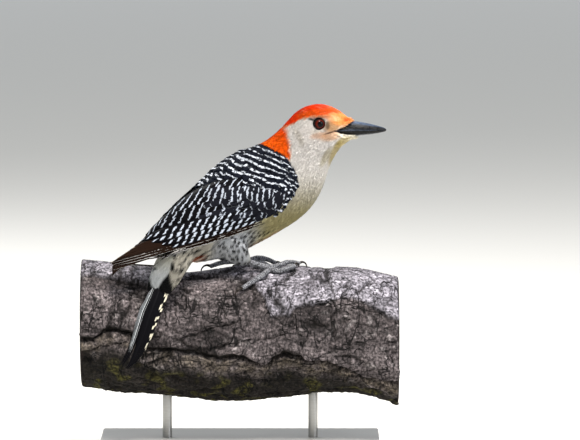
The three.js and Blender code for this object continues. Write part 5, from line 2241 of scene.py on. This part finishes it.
@dataclass
class Perch:
    """A cut length of old branch: bark in plates split by furrows, sawn at both ends."""

    voxel: float = 0.92
    radius: float = 40.0
    middle_z: float = 79.0
    crack_depth: float = 1.4
    furrow_depth: float = 1.8
    cut_slice: float = 2.0
    ring_gap: float = 3.1
    # Each crack of the sawn ends by its direction in radians and its length in mm.
    drying_cracks: tuple[Pair, ...] = ((0.4, 27.0), (2.1, 16.0), (3.0, 30.0), (4.4, 13.0), (5.3, 21.0))
    plate_edge: Fissure = Fissure(
        (
            (-110.0, 23.0), (-82.0, 22.0), (-58.0, 27.0), (-38.0, 18.0), (-25.0, 12.0), (-4.0, 20.0),
            (10.0, 27.0), (19.0, 50.0), (31.0, 49.0), (38.0, 44.0), (50.0, 41.0), (69.0, 38.0),
            (83.0, 43.0), (95.0, 50.0), (110.0, 53.0),
        ),
        1.6, 1.1, 1.4,
    )
    main_split: Fissure = Fissure(
        (
            (-110.0, 62.0), (-90.0, 65.0), (-86.0, 58.0), (-80.0, 57.0), (-68.0, 60.0), (-59.0, 70.0),
            (-35.0, 71.0), (-15.0, 75.0), (4.0, 76.0), (13.0, 81.0), (20.0, 76.0), (28.0, 73.0),
            (38.0, 75.0), (41.0, 79.0), (57.0, 80.0), (68.0, 85.0), (78.0, 92.0), (101.0, 93.0),
        ),
        3.4, 1.7, 1.8,
    )

    def split(self, spots: Array, size: Pair, seed: int, width: float) -> Array:
        """Wandering cracks, where smooth noise crosses its middle value.

        Args:
            spots: Places on the unrolled bark, in mm.
            size: How far apart cracks are along and round the branch.
            seed: Which pattern.
            width: Half of a crack's width, in the noise's own measure.

        Returns:
            1 in the middle of a crack, 0 off it.
        """
        scaled = spots / np.array(size)
        noise = soft_noise(scaled, 1.0, seed) + 0.14 * soft_noise(scaled, 0.35, seed + 1)
        return 1 - ease(np.abs(noise), 0.0, width)

    def build(self) -> None:
        """Makes the bark and its cut ends as one piece."""
        points, triangles = even_skin(("perch",), self.voxel, 12)
        places = points / MM
        surface = Surface(places, triangles)
        normals = surface.corner_normals
        x, y, z = places.T
        angle = np.arctan2(-y, z - self.middle_z)
        near = np.sign(angle)
        ragged = 1.5 * soft_noise(places, 7, 1) + 0.9 * soft_noise(places, 2.6, 2)
        spots = np.stack((x * near + ragged, np.abs(angle) * self.radius + ragged), axis=1)
        fine = np.stack((x + 1.6 * ragged, angle * self.radius + 0.6 * ragged), axis=1)
        slanted = np.stack((fine[:, 0] + 0.5 * fine[:, 1], fine[:, 1] - 0.5 * fine[:, 0]), axis=1)
        smooth_top = 1 - ease(self.plate_edge.below(spots), -1.5, 1.0)
        furrow = self.split(fine, (46.0, 13.0), 5, 0.09) * ease(soft_noise(fine, 17, 7), -0.3, 0.2)
        furrow *= 1 - smooth_top
        seam = self.split(fine, (26.0, 5.5), 15, 0.14) * ease(soft_noise(fine, 12, 17), -0.1, 0.3)
        seam *= 1 - smooth_top
        crack = self.split(fine, (13.0, 40.0), 9, 0.12) * ease(soft_noise(fine, 24, 19), -0.25, 0.05)
        hair = self.split(slanted, (8.5, 46.0), 29, 0.10) * smooth_top
        cracks = np.max((crack, 0.8 * seam, hair), axis=0)
        plate = soft_noise(fine / np.array([24.0, 8.0]), 1.0, 23)
        ledge = np.round(plate * 2.5) / 2.5
        strata = soft_noise(slanted / np.array([30.0, 2.8]), 1.0, 61)
        strata *= ease(soft_noise(places, 16, 63), -0.4, 0.3)
        knobs = soft_noise(places, 3.2, 12)
        grit = soft_noise(places, 1.5, 13)
        rough = 1 - 0.75 * smooth_top
        rise = rough * (0.9 * (0.3 * plate + 0.7 * ledge) + 0.5 * knobs + 0.3 * grit + 0.8 * strata)
        rise += self.plate_edge.lip(spots) + self.main_split.lip(spots)
        rise -= self.crack_depth * cracks + self.furrow_depth * furrow
        gap = self.main_split.gap(spots)
        shaded_shelf = self.plate_edge.gap(spots) * ease(soft_noise(spots, 14, 35), -0.5, 0.1)
        rise -= self.main_split.depth * gap + self.plate_edge.depth * shaded_shelf
        on_bark = 1 - ease(np.abs(normals[:, 0]), 0.6, 0.9)
        moved = places + normals * (rise * on_bark)[:, None]
        ground = self.bark_colours(places, normals, spots, smooth_top)
        # Painted light and shade that follow the relief: raised plates, strata and knobs lighter, low bark
        # darker.
        shade = 0.78 + 0.45 * (0.5 + 0.5 * ledge + strata) * rough + 0.22 * knobs + 0.2 * grit
        ground = ground * shade.clip(0.1)[:, None]
        # Cracks, splits, furrows and the groove under the plate edge are painted near black: dark inner bark
        # with painted shade, and a painted shadow under the plate edge.
        ground = blend(ground, linear("#0E0B0A"), cracks * 0.9)
        ground = blend(ground, linear("#0B0805"), np.max((gap, 0.8 * shaded_shelf, 0.8 * furrow), axis=0) * 0.95)
        ground = blend(self.wood_colours(places), ground, on_bark).clip(0, 1)
        shape = Shape(moved * MM, [triangles], {"Coat": np.column_stack((ground, on_bark))})
        add_piece("branch_bark", shape, BARK, ("perch",), mirrored=False)

    def bark_colours(self, places: Array, normals: Array, spots: Array, smooth_top: Array) -> Array:
        """Pale smooth plates on top, grey brown sides with pale lichen, near black bark with olive moss
        below. The sides and the underside are painted darker partly as painted shade.

        Args:
            places: Places of the bark, in mm.
            normals: The way it faces there.
            spots: The same places on the unrolled bark.
            smooth_top: How far each place belongs to the smooth plates on top.

        Returns:
            Colours in linear light.
        """
        patchy = 0.5 + 0.5 * soft_noise(places, 24, 20)
        # The sides are painted darker than the pale top: their own grey brown, partly painted shade.
        sides = blend(linear("#201C1C"), linear("#665F60"), patchy**1.5)
        top = blend(linear("#5A575D"), linear("#8C8991"), 0.5 + 0.5 * soft_noise(places, 11, 22))
        ground = blend(sides, top, smooth_top)
        lichen = ease(soft_noise(places, 2.6, 24), 0.25, 0.6) * ease(soft_noise(places, 15, 26), -0.2, 0.4)
        ground = blend(ground, linear("#7A7575"), lichen * 0.6 * (1 - smooth_top))
        under = self.main_split.below(spots)
        worn = ease(under, 0.5, 3.0) * (1 - ease(under, 7.0, 15.0))
        ground = blend(ground, linear("#4C453B"), worn * (0.5 + 0.5 * soft_noise(places, 4, 27)))
        # The bark below the main split turns near black: dark mossy bark with painted shade on the
        # underside.
        low = ease(under, 8.0, 18.0)
        ground = blend(ground, linear("#100E08"), low * 0.9)
        moss = ease(-normals[:, 2], 0.2, 0.8) * ease(soft_noise(places, 5, 21), 0.05, 0.4) * low
        return blend(ground, linear("#3B3916"), moss * 0.7)

    def wood_colours(self, places: Array) -> Array:
        """Sawn wood with rings about 3 mm apart, a darker heart, drying cracks and a rim of bark."""
        across, up = np.zeros((2, len(places)))
        for end in (-1, 1):
            here = places[:, 0] * end > 0
            cut = places[here & (np.abs(places[:, 0]) > np.abs(places[here, 0]).max() - self.cut_slice)]
            low, high = cut[:, 1:].min(axis=0), cut[:, 1:].max(axis=0)
            across[here], up[here] = ((places[here, 1:] - (low + high) / 2) / (high - low) * 2).T
        across, up = across * self.radius, up * self.radius
        reach = np.hypot(across, up)
        rings = 0.5 + 0.5 * np.sin((reach + 1.6 * soft_noise(places, 14, 30)) * TURN / self.ring_gap)
        wood = blend(linear("#9A7C5A"), linear("#735A40"), rings**2 * 0.8)
        wood = blend(wood, linear("#5A4431"), 1 - ease(reach, 6.0, 20.0))
        spoke = np.arctan2(up, across) + 0.2 * soft_noise(places, 9, 31)
        for way, length in self.drying_cracks:
            off_crack = np.abs(np.sin((spoke - way) / 2)) * 2 * reach
            crack = (1 - ease(off_crack, 0.2, 0.9)) * ease(length - reach, 0.0, 8.0)
            wood = blend(wood, linear("#2A1D13"), crack * 0.75)
        return blend(wood, linear("#2A2220"), ease(reach, self.radius - 4.5, self.radius - 2.5))


@dataclass
class Stand:
    """A plain painted board with two steel rods up to the branch."""

    bevel: float = 1.2
    corner_radius: float = 14.0
    rod_bevel: float = 0.4
    rod_sides: int = 48

    def build(self) -> None:
        """Makes the board and the rods at the places that the frame gives."""
        low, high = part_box("stand_base")
        place = ((low + high) / 2)[:]
        board = add_solid("stand_board", "cube", size=1, location=place, scale=(high - low)[:])
        self.round_corners(board)
        self.soften(board, self.bevel, 4)
        finish_piece(board, BOARD_PAINT, ("stand_base",))
        for number in (1, 2):
            low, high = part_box(f"stand_rod_{number}")
            place = ((low + high) / 2)[:]
            sizes = {"radius": (high.x - low.x) / 2, "depth": high.z - low.z, "location": place}
            rod = add_solid(f"stand_post_{number}", "cylinder", vertices=self.rod_sides, **sizes)
            self.soften(rod, self.rod_bevel, 3)
            finish_piece(rod, ROD_STEEL, (f"stand_rod_{number}",))

    @staticmethod
    def soften(piece: bpy.types.Object, width: float, segments: int) -> None:
        """Breaks a piece's sharp edges by some mm and shades the rest smooth."""
        apply_modifier(piece, "BEVEL", width=width * MM, segments=segments, limit_method="ANGLE")
        bpy.ops.object.shade_smooth_by_angle(angle=math.radians(35))

    def round_corners(self, board: bpy.types.Object) -> None:
        """Rounds the board's four upright edges."""
        select_only(board)
        bpy.ops.object.mode_set(mode="EDIT")
        shell = bmesh.from_edit_mesh(board.data)
        for edge in shell.edges:
            first, second = edge.verts
            edge.select = abs(first.co.z - second.co.z) > 1 * MM
        shell.select_flush_mode()
        bmesh.update_edit_mesh(board.data)
        bpy.ops.mesh.bevel(offset=self.corner_radius * MM, segments=10, affect="EDGES")
        bpy.ops.object.mode_set(mode="OBJECT")


# ---------------------------------------------------------------- studio


@dataclass
class Studio:
    """A wide pale floor under pale air, three soft lights and the camera."""

    target: Triple = (0.0315, 0.0, 0.1495)
    distance: float = 4.0
    elevation: float = math.radians(4.5)
    frame_width: float = 0.3654
    sensor: float = 36.0
    floor_size: float = 80.0
    air_colour: str = "#E9EDF0"
    air_strength: float = 0.62

    def build(self) -> None:
        """Sets up the whole studio."""
        self.camera()
        self.floor()
        self.light("key_softbox", (0.35, -1.0, 1.8), 0.55, 70.0, "#FFF8F0")
        self.light("fill_softbox", (1.6, -1.1, 0.9), 1.0, 24.0, "#F4F6FF")
        self.light("rim_softbox", (-0.8, 1.1, 1.3), 0.8, 20.0, "#FFFFFF")
        world = bpy.data.worlds.new("studio_air")
        world.use_nodes = True
        air = world.node_tree.nodes["Background"].inputs
        air["Color"].default_value = colour(self.air_colour)
        air["Strength"].default_value = self.air_strength
        scene = bpy.context.scene
        scene.world = world
        scene.view_settings.view_transform = "Standard"

    def camera(self) -> None:
        """A long lens far off, looking a little down."""
        lens = bpy.data.cameras.new("camera")
        lens.sensor_width = self.sensor
        lens.lens = self.sensor * self.distance / self.frame_width
        lens.clip_end = 50.0
        camera = bpy.data.objects.new("camera", lens)
        look = Vector((0.0, math.cos(self.elevation), -math.sin(self.elevation)))
        camera.location = Vector(self.target) - look * self.distance
        camera.rotation_euler = look.to_track_quat("-Z", "Y").to_euler()
        bpy.context.scene.collection.objects.link(camera)
        bpy.context.scene.camera = camera

    def floor(self) -> None:
        """A pale floor, wide enough to meet the pale air far off."""
        floor = add_solid("studio_floor", "plane", size=self.floor_size)
        floor.data.materials.append(STUDIO_FLOOR.material())

    def light(self, name: str, place: Triple, size: float, power: float, code: str) -> None:
        """A square soft light that looks at the bird."""
        lamp = bpy.data.lights.new(name, "AREA")
        lamp.size = size
        lamp.energy = power
        lamp.color = colour(code)[:3]
        holder = bpy.data.objects.new(name, lamp)
        holder.location = place
        aim = Vector(self.target) - Vector(place)
        holder.rotation_euler = aim.to_track_quat("-Z", "Y").to_euler()
        bpy.context.scene.collection.objects.link(holder)


def main() -> None:
    """Builds the model piece by piece inside the CAD frame."""
    logging.basicConfig(level=logging.INFO, format="%(message)s")
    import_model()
    Studio().build()
    body = Body()
    outline = body.outline()
    body.build_skin(outline)
    Coat().build(outline, body)
    Mantle().build(outline)
    Wing().build(outline)
    Tail().build()
    BILL.build()
    Bristles().build()
    Eyes().build()
    Feet().build()
    Perch().build()
    Stand().build()


if __name__ == "__main__":
    main()
